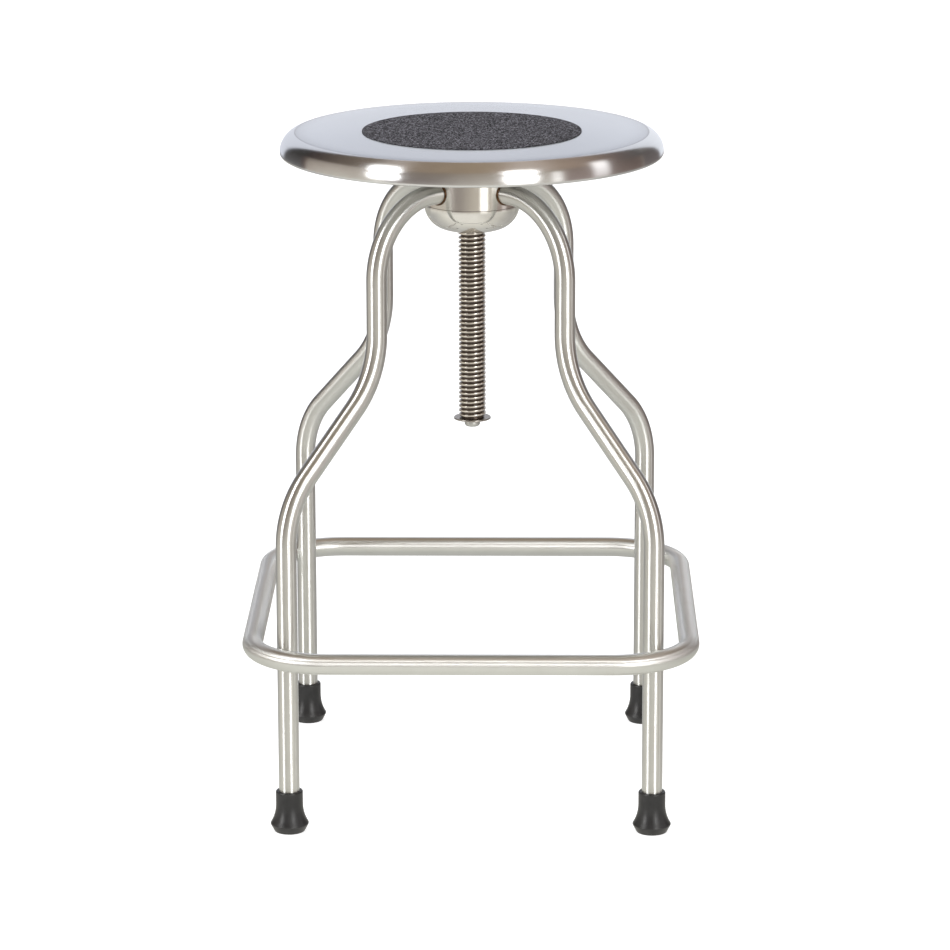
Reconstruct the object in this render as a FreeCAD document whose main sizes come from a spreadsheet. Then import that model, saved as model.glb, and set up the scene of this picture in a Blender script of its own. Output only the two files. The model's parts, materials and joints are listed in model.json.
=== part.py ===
import FreeCAD, Part
import Sketcher
import math
import os
from FreeCAD import Placement, Rotation, Vector

# A four-legged stool whose round seat is raised by turning it: the seat carries a coarse screw
# that runs through a bronze nut in the hub. Millimetres, +Z up. The origin is on the floor, on
# the axis of the screw. +X is to the right and +Y to the back.

doc = FreeCAD.newDocument("medical_stool")

# ---------------------------------------------------------------- driving dimensions
DIMS = [
    ("seat_radius", 177.8, "seat pan, outside"),
    ("seat_top_z", 624.6, "seat pan, upper face"),
    ("seat_flat_radius", 164.3, "seat pan, flat part of the upper face"),
    ("seat_rim_z", 603.8, "lower edge of the seat's rim"),
    ("seat_edge_radius", 18.0, "rolled upper edge of the rim"),
    ("seat_wall", 1.5, "sheet thickness of the seat pan"),
    ("seat_lip_radius", 2.6, "outside bend into the inward lip"),
    ("seat_lip_inner", 167.5, "inner radius of the inward lip"),
    ("mat_radius", 101.6, "anti-slip disc"),
    ("mat_thick", 1.0, "anti-slip disc"),
    ("mat_edge", 0.3, "bevel round the disc"),
    ("stiff_wall", 2.0, "pressed dish under the seat"),
    ("stiff_outer", 140.0, "outer radius of the dish's flange"),
    ("stiff_knee", 120.0, "radius where the dish's wall meets its flange"),
    ("stiff_plateau", 76.0, "radius of the dish's flat bottom"),
    ("stiff_hole", 20.0, "hole in the dish's bottom"),
    ("tube_radius", 9.525, "outside radius of legs and foot rail"),
    ("tube_wall", 1.65, "wall of legs and foot rail"),
    ("leg_top_z", 571.34, "axis of the leg where it leaves the hub"),
    ("leg_neck_radius", 121.65, "radius of the leg's upper upright"),
    ("leg_foot_radius", 236.23, "radius of the leg's lower upright"),
    ("leg_slope", 47.5, "slope of the leg's middle run from the vertical, degrees"),
    ("leg_knee_z", 411.9, "corner between upper upright and slope"),
    ("leg_bend_top", 70.64, "bend at the top of the leg"),
    ("leg_bend_knee", 89.38, "bend from upright to slope"),
    ("leg_bend_foot", 81.4, "bend from slope to lower upright"),
    ("leg_inner_start", 38.0, "where the leg tube starts before it is coped"),
    ("hub_radius", 44.45, "collar, outside"),
    ("hub_bottom_z", 556.8, "collar, lower edge"),
    ("hub_top_z", 588.8, "collar, upper face"),
    ("hub_bore", 22.3, "collar, bore round the nut"),
    ("hub_spigot_radius", 42.2, "step that the cap is pressed on"),
    ("hub_spigot_height", 5.0, "step that the cap is pressed on"),
    ("hub_counterbore", 34.3, "recess for the nut's flange"),
    ("hub_chamfer", 1.0, "upper edge of the collar"),
    ("cap_depth", 27.2, "dished cap, outside depth"),
    ("cap_knuckle", 24.0, "dished cap, side bend"),
    ("cap_wall", 1.5, "dished cap, sheet thickness"),
    ("cap_hole", 13.6, "dished cap, hole round the screw"),
    ("nut_flange_radius", 34.0, "bronze nut"),
    ("nut_flange_thick", 6.0, "bronze nut"),
    ("nut_body_radius", 22.0, "bronze nut"),
    ("nut_bottom_z", 533.4, "bronze nut"),
    ("nut_screw_circle", 28.3, "radius of the screws in the nut's flange"),
    ("nut_screw_radius", 2.4, "countersunk screws, shank"),
    ("nut_screw_head", 4.6, "countersunk screws, head radius"),
    ("nut_screw_length", 18.0, "countersunk screws"),
    ("nut_screw_socket", 3.0, "countersunk screws, socket across flats"),
    ("thrust_thick", 2.4, "nylon washer on the collar"),
    ("thrust_outer", 40.0, "nylon washer"),
    ("thrust_inner", 14.0, "nylon washer"),
    ("thrust_gap", 0.4, "between the nylon washer and the seat's flange at the lowest height"),
    ("screw_radius", 12.7, "lift screw, outside"),
    ("thread_pitch", 4.233333333, "lift screw, six threads to the inch"),
    ("thread_depth", 2.35, "lift screw"),
    ("thread_crest", 1.57, "lift screw, width of the flat crest"),
    ("thread_flank", 14.5, "lift screw, flank angle in degrees"),
    ("thread_play", 0.37, "play between screw and nut, along the axis"),
    ("thread_gap", 0.4, "play between screw and nut, on the radius"),
    ("screw_bottom_z", 353.1, "lift screw, lower end"),
    ("screw_chamfer", 2.0, "lift screw, bevel at the lower end"),
    ("spigot_radius", 9.525, "top of the lift screw, in the flange"),
    ("spigot_proud", 4.0, "top of the lift screw above the flange"),
    ("tap_radius", 4.06, "tapped hole in the lower end of the lift screw"),
    ("tap_depth", 26.0, "tapped hole"),
    ("flange_radius", 66.0, "disc at the top of the lift screw"),
    ("flange_thick", 6.35, "disc at the top of the lift screw"),
    ("flange_chamfer", 1.0, "disc at the top of the lift screw"),
    ("flange_weld_leg", 3.6, "weld ring round the screw's top"),
    ("bolt_circle", 55.0, "radius of the bolts in the flange"),
    ("bolt_radius", 3.9, "flange bolts, shank"),
    ("bolt_clear", 4.35, "holes for the flange bolts"),
    ("bolt_flats", 12.7, "flange bolts and weld nuts, across flats"),
    ("bolt_head", 5.3, "flange bolts, head height"),
    ("bolt_washer", 2.0, "lock washers of the flange bolts"),
    ("bolt_washer_outer", 7.0, "lock washers of the flange bolts"),
    ("weld_nut_height", 6.75, "weld nuts on the dish"),
    ("bolt_end", 1.2, "bolt end above the weld nut"),
    ("stop_shank", 4.0, "stop screw"),
    ("stop_head_radius", 7.3, "stop screw"),
    ("stop_head_height", 5.7, "stop screw"),
    ("stop_head_round", 3.2, "stop screw, rounded lower edge"),
    ("stop_engage", 22.0, "stop screw, length in the lift screw"),
    ("stop_socket", 5.0, "stop screw, socket across flats"),
    ("stop_socket_depth", 3.0, "stop screw"),
    ("stop_lock_thick", 1.6, "split washer on the stop screw"),
    ("stop_lock_outer", 7.4, "split washer on the stop screw"),
    ("stop_lock_inner", 4.2, "split washer on the stop screw"),
    ("stop_lock_slit", 1.4, "split washer, width of the slit"),
    ("stop_spacer_length", 2.1, "sleeve in the stop washer"),
    ("stop_spacer_outer", 5.8, "sleeve in the stop washer"),
    ("stop_washer_outer", 17.4, "stop washer"),
    ("stop_washer_inner", 6.2, "stop washer"),
    ("stop_washer_thick", 1.5, "stop washer"),
    ("stop_washer_gap", 0.3, "axial play of the stop washer, each side"),
    ("rail_z", 170.3, "foot rail, axis"),
    ("rail_half", 201.2, "foot rail, half width between the axes of its bars"),
    ("rail_gap", 0.05, "between foot rail and leg, where the weld is"),
    ("rail_weld", 6.0, "foot rail, size of the weld"),
    ("seam_inner", 9.6, "leg seam, on the tube"),
    ("seam_outer", 12.0, "leg seam, on the collar"),
    ("seam_start", 42.0, "leg seam, inside the collar before it is coped"),
    ("seam_flat", 44.7, "leg seam"),
    ("seam_end", 47.0, "leg seam, outer end on the tube"),
    ("tip_height", 39.0, "rubber tip"),
    ("tip_floor", 6.4, "rubber tip, thickness of its bottom"),
    ("tip_bore", 9.6, "rubber tip, bore"),
    ("tip_neck", 12.5, "rubber tip, upper sleeve"),
    ("tip_neck_z", 26.0, "rubber tip, where the flare starts"),
    ("tip_flare_radius", 17.45, "rubber tip, lower end of the flare"),
    ("tip_flare_z", 7.9, "rubber tip, lower end of the flare"),
    ("tip_belly_radius", 17.65, "rubber tip, widest"),
    ("tip_belly_z", 7.2, "rubber tip, widest"),
    ("tip_sole_radius", 14.4, "rubber tip, lower edge"),
    ("tip_sole_bevel", 0.8, "rubber tip, bevel on the floor"),
    ("tip_flare_arc", 35.57, "rubber tip, hollow of the flare"),
    ("tip_rim_round", 1.5, "rubber tip, rounded upper edge"),
    ("foot_washer_radius", 9.4, "disc in the rubber tip"),
    ("foot_washer_thick", 1.6, "disc in the rubber tip"),
]

sheet = doc.addObject("Spreadsheet::Sheet", "Dims")
NUMBER = {}
for row, (alias, value, note) in enumerate(DIMS, start=1):
    sheet.set("A%d" % row, alias)
    sheet.set("B%d" % row, repr(value))
    sheet.setAlias("B%d" % row, alias)
    sheet.set("C%d" % row, note)
    NUMBER[alias] = value
doc.recompute()


class Size:
    """A length or angle as a number, with the formula in sheet cells that gives it."""

    def __init__(self, value, text):
        self.value, self.text = float(value), text

    @staticmethod
    def of(x):
        return x if isinstance(x, Size) else Size(x, repr(float(x)))

    def _two(self, other, sign, value):
        return Size(value, "(%s %s %s)" % (self.text, sign, other.text))

    def __add__(self, other):
        other = Size.of(other)
        return self._two(other, "+", self.value + other.value)

    def __sub__(self, other):
        other = Size.of(other)
        return self._two(other, "-", self.value - other.value)

    def __mul__(self, other):
        other = Size.of(other)
        return self._two(other, "*", self.value * other.value)

    def __truediv__(self, other):
        other = Size.of(other)
        return self._two(other, "/", self.value / other.value)

    def __radd__(self, other):
        return Size.of(other) + self

    def __rsub__(self, other):
        return Size.of(other) - self

    def __rmul__(self, other):
        return Size.of(other) * self

    def __neg__(self):
        return Size(-self.value, "(0 - %s)" % self.text)


def d(alias):
    return Size(NUMBER[alias], "Dims.%s" % alias)


def sind(x):
    return Size(math.sin(math.radians(x.value)), "sin(%s)" % x.text)


def cosd(x):
    return Size(math.cos(math.radians(x.value)), "cos(%s)" % x.text)


def tand(x):
    return Size(math.tan(math.radians(x.value)), "tan(%s)" % x.text)


def root(x):
    return Size(math.sqrt(x.value), "sqrt(%s)" % x.text)


# ---------------------------------------------------------------- sketches and features
PIECES = []


def new_body(label, angle=0.0, at=(0.0, 0.0, 0.0)):
    body = doc.addObject("PartDesign::Body", label)
    body.Label = label
    body.AllowCompound = True
    body.Placement = Placement(Vector(*at), Rotation(Vector(0, 0, 1), angle))
    PIECES.append((label, body))
    return body


def plane_of(body, role):
    return [o for o in body.Origin.OriginFeatures if o.Role == role][0]


def new_sketch(body, name, role, offset=None):
    sketch = body.newObject("Sketcher::SketchObject", name)
    sketch.AttachmentSupport = (plane_of(body, role), [""])
    sketch.MapMode = "FlatFace"
    if offset is not None:
        offset = Size.of(offset)
        sketch.AttachmentOffset = Placement(Vector(0, 0, offset.value), Rotation())
        sketch.setExpression("AttachmentOffset.Base.z", offset.text)
    return sketch


def pin_point(sketch, geo, pos, x, y):
    """Hold a point of a sketch at formulas for its two coordinates."""
    for kind, q, axis in (("DistanceX", x, -2), ("DistanceY", y, -1)):
        q = Size.of(q)
        if abs(q.value) < 1e-9:
            sketch.addConstraint(Sketcher.Constraint("PointOnObject", geo, pos, axis))
        elif q.value > 0:
            n = sketch.addConstraint(Sketcher.Constraint(kind, -1, 1, geo, pos, q.value))
            sketch.setExpression("Constraints[%d]" % n, q.text)
        else:
            n = sketch.addConstraint(Sketcher.Constraint(kind, geo, pos, -1, 1, -q.value))
            sketch.setExpression("Constraints[%d]" % n, (-q).text)


def draw(sketch, corners, closed=True):
    """Lines and arcs from corner to corner. A third entry is the radius of the arc that leaves
    that corner, above zero where the arc turns left."""
    count = len(corners)
    made = []
    for i in range(count if closed else count - 1):
        a, b = corners[i], corners[(i + 1) % count]
        ax, ay = Size.of(a[0]).value, Size.of(a[1]).value
        bx, by = Size.of(b[0]).value, Size.of(b[1]).value
        if len(a) < 3:
            geo = sketch.addGeometry(Part.LineSegment(Vector(ax, ay, 0), Vector(bx, by, 0)), False)
            made.append((geo, 1, 2))
            continue
        radius = Size.of(a[2])
        r, left = abs(radius.value), radius.value > 0
        half = math.hypot(bx - ax, by - ay) / 2
        rise = math.sqrt(max(r * r - half * half, 0.0))
        ux, uy = (bx - ax) / (2 * half), (by - ay) / (2 * half)
        side = 1 if left else -1
        cx, cy = (ax + bx) / 2 - side * uy * rise, (ay + by) / 2 + side * ux * rise
        start, end = math.atan2(ay - cy, ax - cx), math.atan2(by - cy, bx - cx)
        circle = Part.Circle(Vector(cx, cy, 0), Vector(0, 0, 1), r)
        if left:
            geo = sketch.addGeometry(Part.ArcOfCircle(circle, start, end), False)
            made.append((geo, 1, 2))
        else:
            geo = sketch.addGeometry(Part.ArcOfCircle(circle, end, start), False)
            made.append((geo, 2, 1))
        n = sketch.addConstraint(Sketcher.Constraint("Radius", geo, r))
        sketch.setExpression("Constraints[%d]" % n, radius.text if left else (-radius).text)
    for i, (geo, first, last) in enumerate(made):
        if i + 1 < len(made) or closed:
            other = made[(i + 1) % len(made)]
            sketch.addConstraint(Sketcher.Constraint("Coincident", geo, last, other[0], other[1]))
        pin_point(sketch, geo, first, corners[i][0], corners[i][1])
    if not closed:
        geo, _, last = made[-1]
        pin_point(sketch, geo, last, corners[-1][0], corners[-1][1])
    return sketch


def ring(sketch, radius, x=0.0, y=0.0):
    x, y, radius = Size.of(x), Size.of(y), Size.of(radius)
    geo = sketch.addGeometry(
        Part.Circle(Vector(x.value, y.value, 0), Vector(0, 0, 1), radius.value), False
    )
    n = sketch.addConstraint(Sketcher.Constraint("Radius", geo, radius.value))
    sketch.setExpression("Constraints[%d]" % n, radius.text)
    pin_point(sketch, geo, 3, x, y)


def axis_line(sketch, first, second):
    """A construction line for a revolution."""
    geo = sketch.addGeometry(
        Part.LineSegment(
            Vector(Size.of(first[0]).value, Size.of(first[1]).value, 0),
            Vector(Size.of(second[0]).value, Size.of(second[1]).value, 0),
        ),
        True,
    )
    pin_point(sketch, geo, 1, *first)
    pin_point(sketch, geo, 2, *second)


def turned(body, name, corners, kind="Revolution", axis=None):
    """A profile turned about Z, or about a line of its own sketch."""
    sketch = new_sketch(body, name + "_profile", "XZ_Plane")
    draw(sketch, corners)
    if axis:
        axis_line(sketch, *axis)
    feature = body.newObject("PartDesign::" + kind, name)
    feature.Profile = sketch
    feature.ReferenceAxis = (sketch, ["Axis0" if axis else "V_Axis"])
    feature.Angle = 360
    return feature


def padded(body, name, shape, z, height):
    sketch = new_sketch(body, name + "_profile", "XY_Plane", z)
    shape(sketch)
    feature = body.newObject("PartDesign::Pad", name)
    feature.Profile = sketch
    feature.Length = Size.of(height).value
    feature.setExpression("Length", Size.of(height).text)
    return feature


def pocketed(body, name, shape, z, depth, up=False):
    """A pocket from the plane at z, downwards or upwards."""
    sketch = new_sketch(body, name + "_profile", "XY_Plane", z)
    shape(sketch)
    feature = body.newObject("PartDesign::Pocket", name)
    feature.Profile = sketch
    feature.Length = Size.of(depth).value
    feature.setExpression("Length", Size.of(depth).text)
    feature.Reversed = up
    return feature


def repeated(body, name, features, count):
    doc.recompute()
    pattern = body.newObject("PartDesign::PolarPattern", name)
    pattern.Originals = features
    pattern.Axis = (plane_of(body, "Z_Axis"), [""])
    pattern.Angle = 360
    pattern.Occurrences = count
    body.Tip = pattern
    return pattern


def hexagon(flats, x=0.0, y=0.0):
    corner = flats / math.sqrt(3.0)
    x, y = Size.of(x), Size.of(y)
    corners = []
    for k in range(6):
        turn = math.radians(60 * k + 30)
        corners.append((x + corner * round(math.cos(turn), 12), y + corner * round(math.sin(turn), 12)))
    return lambda sketch: draw(sketch, corners)


def volume_drop(body, before, what):
    """A cut that points the wrong way leaves the volume as it was."""
    doc.recompute()
    if not body.Shape.Volume < before - 0.01:
        raise RuntimeError("%s cut nothing from %s" % (what, body.Label))
    return body.Shape.Volume


# ---------------------------------------------------------------- heights that follow from others
seat_under_z = d("seat_top_z") - d("seat_wall")
thrust_top_z = d("hub_top_z") + d("thrust_thick")
flange_z = thrust_top_z + d("thrust_gap")
flange_top_z = flange_z + d("flange_thick")
plateau_top_z = flange_top_z + d("stiff_wall")
nut_flange_z = d("hub_top_z") - d("nut_flange_thick")
stop_lock_top_z = d("screw_bottom_z") - d("stop_spacer_length")
stop_lock_z = stop_lock_top_z - d("stop_lock_thick")
stop_head_z = stop_lock_z - d("stop_head_height")
leg_end_z = d("tip_floor") + d("foot_washer_thick")

# ---------------------------------------------------------------- seat
# a spun pan: flat top, rolled edge, straight rim, and a lip turned in under the rim. The roll
# meets the flat at a slight angle, which shows as a fine line round the seat
pan = new_body("seat_pan")
r, w, e, lip = d("seat_radius"), d("seat_wall"), d("seat_edge_radius"), d("seat_lip_radius")
flat = d("seat_flat_radius")
roll_z = d("seat_top_z") - root(e * e - (flat - r + e) * (flat - r + e))
flat_under = r - e + root((e - w) * (e - w) - (seat_under_z - roll_z) * (seat_under_z - roll_z))
turned(
    pan,
    "seat_pan_turned",
    [
        (0, seat_under_z),
        (flat_under, seat_under_z, -(e - w)),
        (r - w, roll_z),
        (r - w, d("seat_rim_z") + lip, -(lip - w)),
        (r - lip, d("seat_rim_z") + w),
        (d("seat_lip_inner"), d("seat_rim_z") + w),
        (d("seat_lip_inner"), d("seat_rim_z")),
        (r - lip, d("seat_rim_z"), lip),
        (r, d("seat_rim_z") + lip),
        (r, roll_z, e),
        (flat, d("seat_top_z")),
        (0, d("seat_top_z")),
    ],
)

# the anti-slip disc stuck on the seat
mat = new_body("seat_mat")
mat_top = d("seat_top_z") + d("mat_thick")
turned(
    mat,
    "seat_mat_turned",
    [
        (0, d("seat_top_z")),
        (d("mat_radius"), d("seat_top_z")),
        (d("mat_radius"), mat_top - d("mat_edge")),
        (d("mat_radius") - d("mat_edge"), mat_top),
        (0, mat_top),
    ],
)

# a pressed dish that spreads the screw's load into the pan, spot-welded to it at its flange
stiff = new_body("seat_stiffener")
turned(
    stiff,
    "seat_stiffener_turned",
    [
        (d("stiff_hole"), flange_top_z),
        (d("stiff_plateau"), flange_top_z),
        (d("stiff_knee"), seat_under_z - d("stiff_wall")),
        (d("stiff_outer"), seat_under_z - d("stiff_wall")),
        (d("stiff_outer"), seat_under_z),
        (d("stiff_knee"), seat_under_z),
        (d("stiff_plateau"), plateau_top_z),
        (d("stiff_hole"), plateau_top_z),
    ],
)
doc.recompute()
before = stiff.Shape.Volume
hole = pocketed(
    stiff,
    "seat_stiffener_hole",
    lambda s: ring(s, d("bolt_clear"), d("bolt_circle")),
    plateau_top_z,
    d("stiff_wall"),
)
before = volume_drop(stiff, before, "bolt hole")
repeated(stiff, "seat_stiffener_holes", [hole], 4)

# the disc that the lift screw is welded into
flange = new_body("screw_flange")
c = d("flange_chamfer")
turned(
    flange,
    "screw_flange_turned",
    [
        (d("spigot_radius") + 0.05, flange_z),
        (d("flange_radius") - c, flange_z),
        (d("flange_radius"), flange_z + c),
        (d("flange_radius"), flange_top_z - c),
        (d("flange_radius") - c, flange_top_z),
        (d("spigot_radius") + 0.05, flange_top_z),
    ],
)
doc.recompute()
before = flange.Shape.Volume
hole = pocketed(
    flange,
    "screw_flange_hole",
    lambda s: ring(s, d("bolt_clear"), d("bolt_circle")),
    flange_top_z,
    d("flange_thick"),
)
before = volume_drop(flange, before, "bolt hole")
repeated(flange, "screw_flange_holes", [hole], 4)

# the weld between screw and flange, on the seat's side
weld = new_body("flange_weld")
turned(
    weld,
    "flange_weld_turned",
    [
        (d("spigot_radius") + 0.02, flange_top_z),
        (d("spigot_radius") + d("flange_weld_leg"), flange_top_z),
        (
            d("spigot_radius") + 0.02,
            flange_top_z + d("flange_weld_leg"),
        ),
    ],
)

# four hex bolts with lock washers, up through flange and dish into weld nuts
bolts = new_body("flange_bolts")
bolt_head_top = flange_z - d("bolt_washer")
bolt_head_z = bolt_head_top - d("bolt_head")
bolt_top = plateau_top_z + d("weld_nut_height") + d("bolt_end")
shank = padded(
    bolts,
    "flange_bolts_shank",
    lambda s: ring(s, d("bolt_radius"), d("bolt_circle")),
    bolt_head_z,
    bolt_top - bolt_head_z,
)
head = padded(
    bolts, "flange_bolts_head", hexagon(d("bolt_flats"), d("bolt_circle")), bolt_head_z, d("bolt_head")
)
repeated(bolts, "flange_bolts_all", [shank, head], 4)

washers = new_body("flange_lock_washers")
washer_ring = padded(
    washers,
    "flange_lock_washers_ring",
    lambda s: (
        ring(s, d("bolt_washer_outer"), d("bolt_circle")),
        ring(s, d("bolt_radius") + 0.15, d("bolt_circle")),
    ),
    bolt_head_top,
    d("bolt_washer"),
)
repeated(washers, "flange_lock_washers_all", [washer_ring], 4)

weld_nuts = new_body("flange_weld_nuts")


def weld_nut_shape(sketch):
    hexagon(d("bolt_flats"), d("bolt_circle"))(sketch)
    ring(sketch, d("bolt_radius") + 0.1, d("bolt_circle"))


nut_pad = padded(
    weld_nuts, "flange_weld_nuts_body", weld_nut_shape, plateau_top_z, d("weld_nut_height")
)
repeated(weld_nuts, "flange_weld_nuts_all", [nut_pad], 4)

# ---------------------------------------------------------------- lift screw
pitch = d("thread_pitch")
# the first groove is well below the lower end, on a height that the nut's ridges share
groove_z = d("screw_bottom_z") - 1.5 * pitch
screw = new_body("lift_screw")
turned(
    screw,
    "lift_screw_turned",
    [
        (0, d("screw_bottom_z")),
        (d("screw_radius") - d("screw_chamfer"), d("screw_bottom_z")),
        (d("screw_radius"), d("screw_bottom_z") + d("screw_chamfer")),
        (d("screw_radius"), flange_z),
        (d("spigot_radius"), flange_z),
        (d("spigot_radius"), flange_top_z + d("spigot_proud")),
        (0, flange_top_z + d("spigot_proud")),
    ],
)


def helix(body, name, corners, height):
    sketch = new_sketch(body, name + "_profile", "XZ_Plane")
    draw(sketch, corners)
    feature = body.newObject("PartDesign::SubtractiveHelix", name)
    feature.Profile = sketch
    feature.ReferenceAxis = (sketch, ["V_Axis"])
    feature.Mode = 0
    feature.Pitch = pitch.value
    feature.setExpression("Pitch", pitch.text)
    feature.Height = height.value
    feature.setExpression("Height", height.text)
    feature.Angle = 0
    feature.LeftHanded = False
    feature.Reversed = False
    return feature


slope = tand(d("thread_flank"))
groove_top = pitch - d("thread_crest")
groove_bottom = groove_top - 2 * d("thread_depth") * slope
over = 0.6
doc.recompute()
before = screw.Shape.Volume
screw_root = d("screw_radius") - d("thread_depth")
# the thread runs right up to the flange, past the nut's upper end; the spigot is thinner than its root
helix(
    screw,
    "lift_screw_thread",
    [
        (screw_root, groove_z - groove_bottom / 2),
        (d("screw_radius") + over, groove_z - groove_top / 2 - over * slope),
        (d("screw_radius") + over, groove_z + groove_top / 2 + over * slope),
        (screw_root, groove_z + groove_bottom / 2),
    ],
    flange_z - groove_z + 1.5 * pitch,
)
before = volume_drop(screw, before, "thread")
# the tapped hole for the stop screw, with a drill point
turned(
    screw,
    "lift_screw_tap",
    [
        (0, d("screw_bottom_z")),
        (d("tap_radius"), d("screw_bottom_z")),
        (d("tap_radius"), d("screw_bottom_z") + d("tap_depth")),
        (0, d("screw_bottom_z") + d("tap_depth") + d("tap_radius") * 0.6),
    ],
    kind="Groove",
)
before = volume_drop(screw, before, "tapped hole")

# ---------------------------------------------------------------- lower stop
# a round-headed screw from below; its rounded edge faces down
stop = new_body("stop_screw")
hr, hd = d("stop_head_radius"), d("stop_head_round")
turned(
    stop,
    "stop_screw_turned",
    [
        (0, stop_head_z),
        (hr - hd, stop_head_z, hd),
        (hr, stop_head_z + hd),
        (hr, stop_lock_z),
        (d("stop_shank"), stop_lock_z),
        (d("stop_shank"), d("screw_bottom_z") + d("stop_engage") - 1.0),
        (d("stop_shank") - 1.0, d("screw_bottom_z") + d("stop_engage")),
        (0, d("screw_bottom_z") + d("stop_engage")),
    ],
)
doc.recompute()
before = stop.Shape.Volume
pocketed(
    stop, "stop_screw_socket", hexagon(d("stop_socket")), stop_head_z, d("stop_socket_depth"), up=True
)
before = volume_drop(stop, before, "socket")

lock = new_body("stop_lock_washer")
padded(
    lock,
    "stop_lock_washer_ring",
    lambda s: (ring(s, d("stop_lock_outer")), ring(s, d("stop_lock_inner"))),
    stop_lock_z,
    d("stop_lock_thick"),
)
doc.recompute()
before = lock.Shape.Volume
half = d("stop_lock_slit") / 2
pocketed(
    lock,
    "stop_lock_washer_slit",
    lambda s: draw(
        s,
        [
            (d("stop_lock_inner") - 1.5, -half),
            (d("stop_lock_outer") + 1.0, -half),
            (d("stop_lock_outer") + 1.0, half),
            (d("stop_lock_inner") - 1.5, half),
        ],
    ),
    stop_lock_top_z,
    d("stop_lock_thick"),
)
before = volume_drop(lock, before, "slit")
lock.Placement = Placement(Vector(0, 0, 0), Rotation(Vector(0, 0, 1), 35))

spacer = new_body("stop_spacer")
padded(
    spacer,
    "stop_spacer_sleeve",
    lambda s: (ring(s, d("stop_spacer_outer")), ring(s, d("stop_lock_inner"))),
    stop_lock_top_z,
    d("stop_spacer_length"),
)

# the loose washer that meets the cap when the seat is at its highest
loose = new_body("stop_washer")
washer_z = stop_lock_top_z + d("stop_washer_gap")
b = 0.25
turned(
    loose,
    "stop_washer_turned",
    [
        (d("stop_washer_inner"), washer_z),
        (d("stop_washer_outer") - b, washer_z),
        (d("stop_washer_outer"), washer_z + b),
        (d("stop_washer_outer"), washer_z + d("stop_washer_thick") - b),
        (d("stop_washer_outer") - b, washer_z + d("stop_washer_thick")),
        (d("stop_washer_inner"), washer_z + d("stop_washer_thick")),
    ],
)

# ---------------------------------------------------------------- hub
# a turned collar: a step for the cap below, a recess for the nut's flange above
hub = new_body("hub_body")
c = d("hub_chamfer")
turned(
    hub,
    "hub_body_turned",
    [
        (d("hub_bore"), d("hub_bottom_z") - d("hub_spigot_height")),
        (d("hub_spigot_radius"), d("hub_bottom_z") - d("hub_spigot_height")),
        (d("hub_spigot_radius"), d("hub_bottom_z")),
        (d("hub_radius"), d("hub_bottom_z")),
        (d("hub_radius"), d("hub_top_z") - c),
        (d("hub_radius") - c, d("hub_top_z")),
        (d("hub_counterbore"), d("hub_top_z")),
        (d("hub_counterbore"), nut_flange_z),
        (d("hub_bore"), nut_flange_z),
    ],
)
doc.recompute()
before = hub.Shape.Volume
hole = pocketed(
    hub,
    "hub_body_tap",
    lambda s: ring(s, d("nut_screw_radius") + 0.1, d("nut_screw_circle")),
    nut_flange_z,
    d("nut_screw_length"),
)
before = volume_drop(hub, before, "tapped hole")
repeated(hub, "hub_body_taps", [hole], 4)

# the dished cap: a shallow crown with a wide side bend, pressed on the collar's step
cap = new_body("hub_dome_cap")
cr, ck, cd, cw = d("hub_radius"), d("cap_knuckle"), d("cap_depth"), d("cap_wall")
side = cr - ck
crown = (cr * cr + cd * cd - 2 * cr * ck) / (2 * (cd - ck))
crown_z = d("hub_bottom_z") - cd + crown
reach = crown - ck
meet_x = side * crown / reach
meet_z = crown_z - (crown_z - d("hub_bottom_z")) * crown / reach
inner_x = side * (crown - cw) / reach
inner_z = crown_z - (crown_z - d("hub_bottom_z")) * (crown - cw) / reach
ch = d("cap_hole")
turned(
    cap,
    "hub_dome_cap_turned",
    [
        (cr, d("hub_bottom_z"), -ck),
        (meet_x, meet_z, -crown),
        (ch, crown_z - root(crown * crown - ch * ch)),
        (ch, crown_z - root((crown - cw) * (crown - cw) - ch * ch), crown - cw),
        (inner_x, inner_z, ck - cw),
        (cr - cw, d("hub_bottom_z")),
    ],
)

# the bronze nut
nut = new_body("lift_nut")
nut_minor = screw_root + d("thread_gap")
nut_major = d("screw_radius") + d("thread_gap")
turned(
    nut,
    "lift_nut_turned",
    [
        (nut_minor, d("nut_bottom_z")),
        (d("nut_body_radius") - 1.0, d("nut_bottom_z")),
        (d("nut_body_radius"), d("nut_bottom_z") + 1.0),
        (d("nut_body_radius"), nut_flange_z),
        (d("nut_flange_radius"), nut_flange_z),
        (d("nut_flange_radius"), d("hub_top_z")),
        (nut_minor, d("hub_top_z")),
    ],
)
doc.recompute()
before = nut.Shape.Volume
# the nut's groove takes the screw's ridge, with play on both flanks
ridge_z = groove_z + 42.5 * pitch
gap = d("thread_play")
wide_minor = d("thread_crest") + 2 * (d("screw_radius") - nut_minor + over) * slope + 2 * gap
wide_major = d("thread_crest") - 2 * d("thread_gap") * slope + 2 * gap
helix(
    nut,
    "lift_nut_thread",
    [
        (nut_minor - over, ridge_z - wide_minor / 2),
        (nut_major, ridge_z - wide_major / 2),
        (nut_major, ridge_z + wide_major / 2),
        (nut_minor - over, ridge_z + wide_minor / 2),
    ],
    d("hub_top_z") - d("nut_bottom_z") + 5 * pitch,
)
before = volume_drop(nut, before, "thread")
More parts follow.
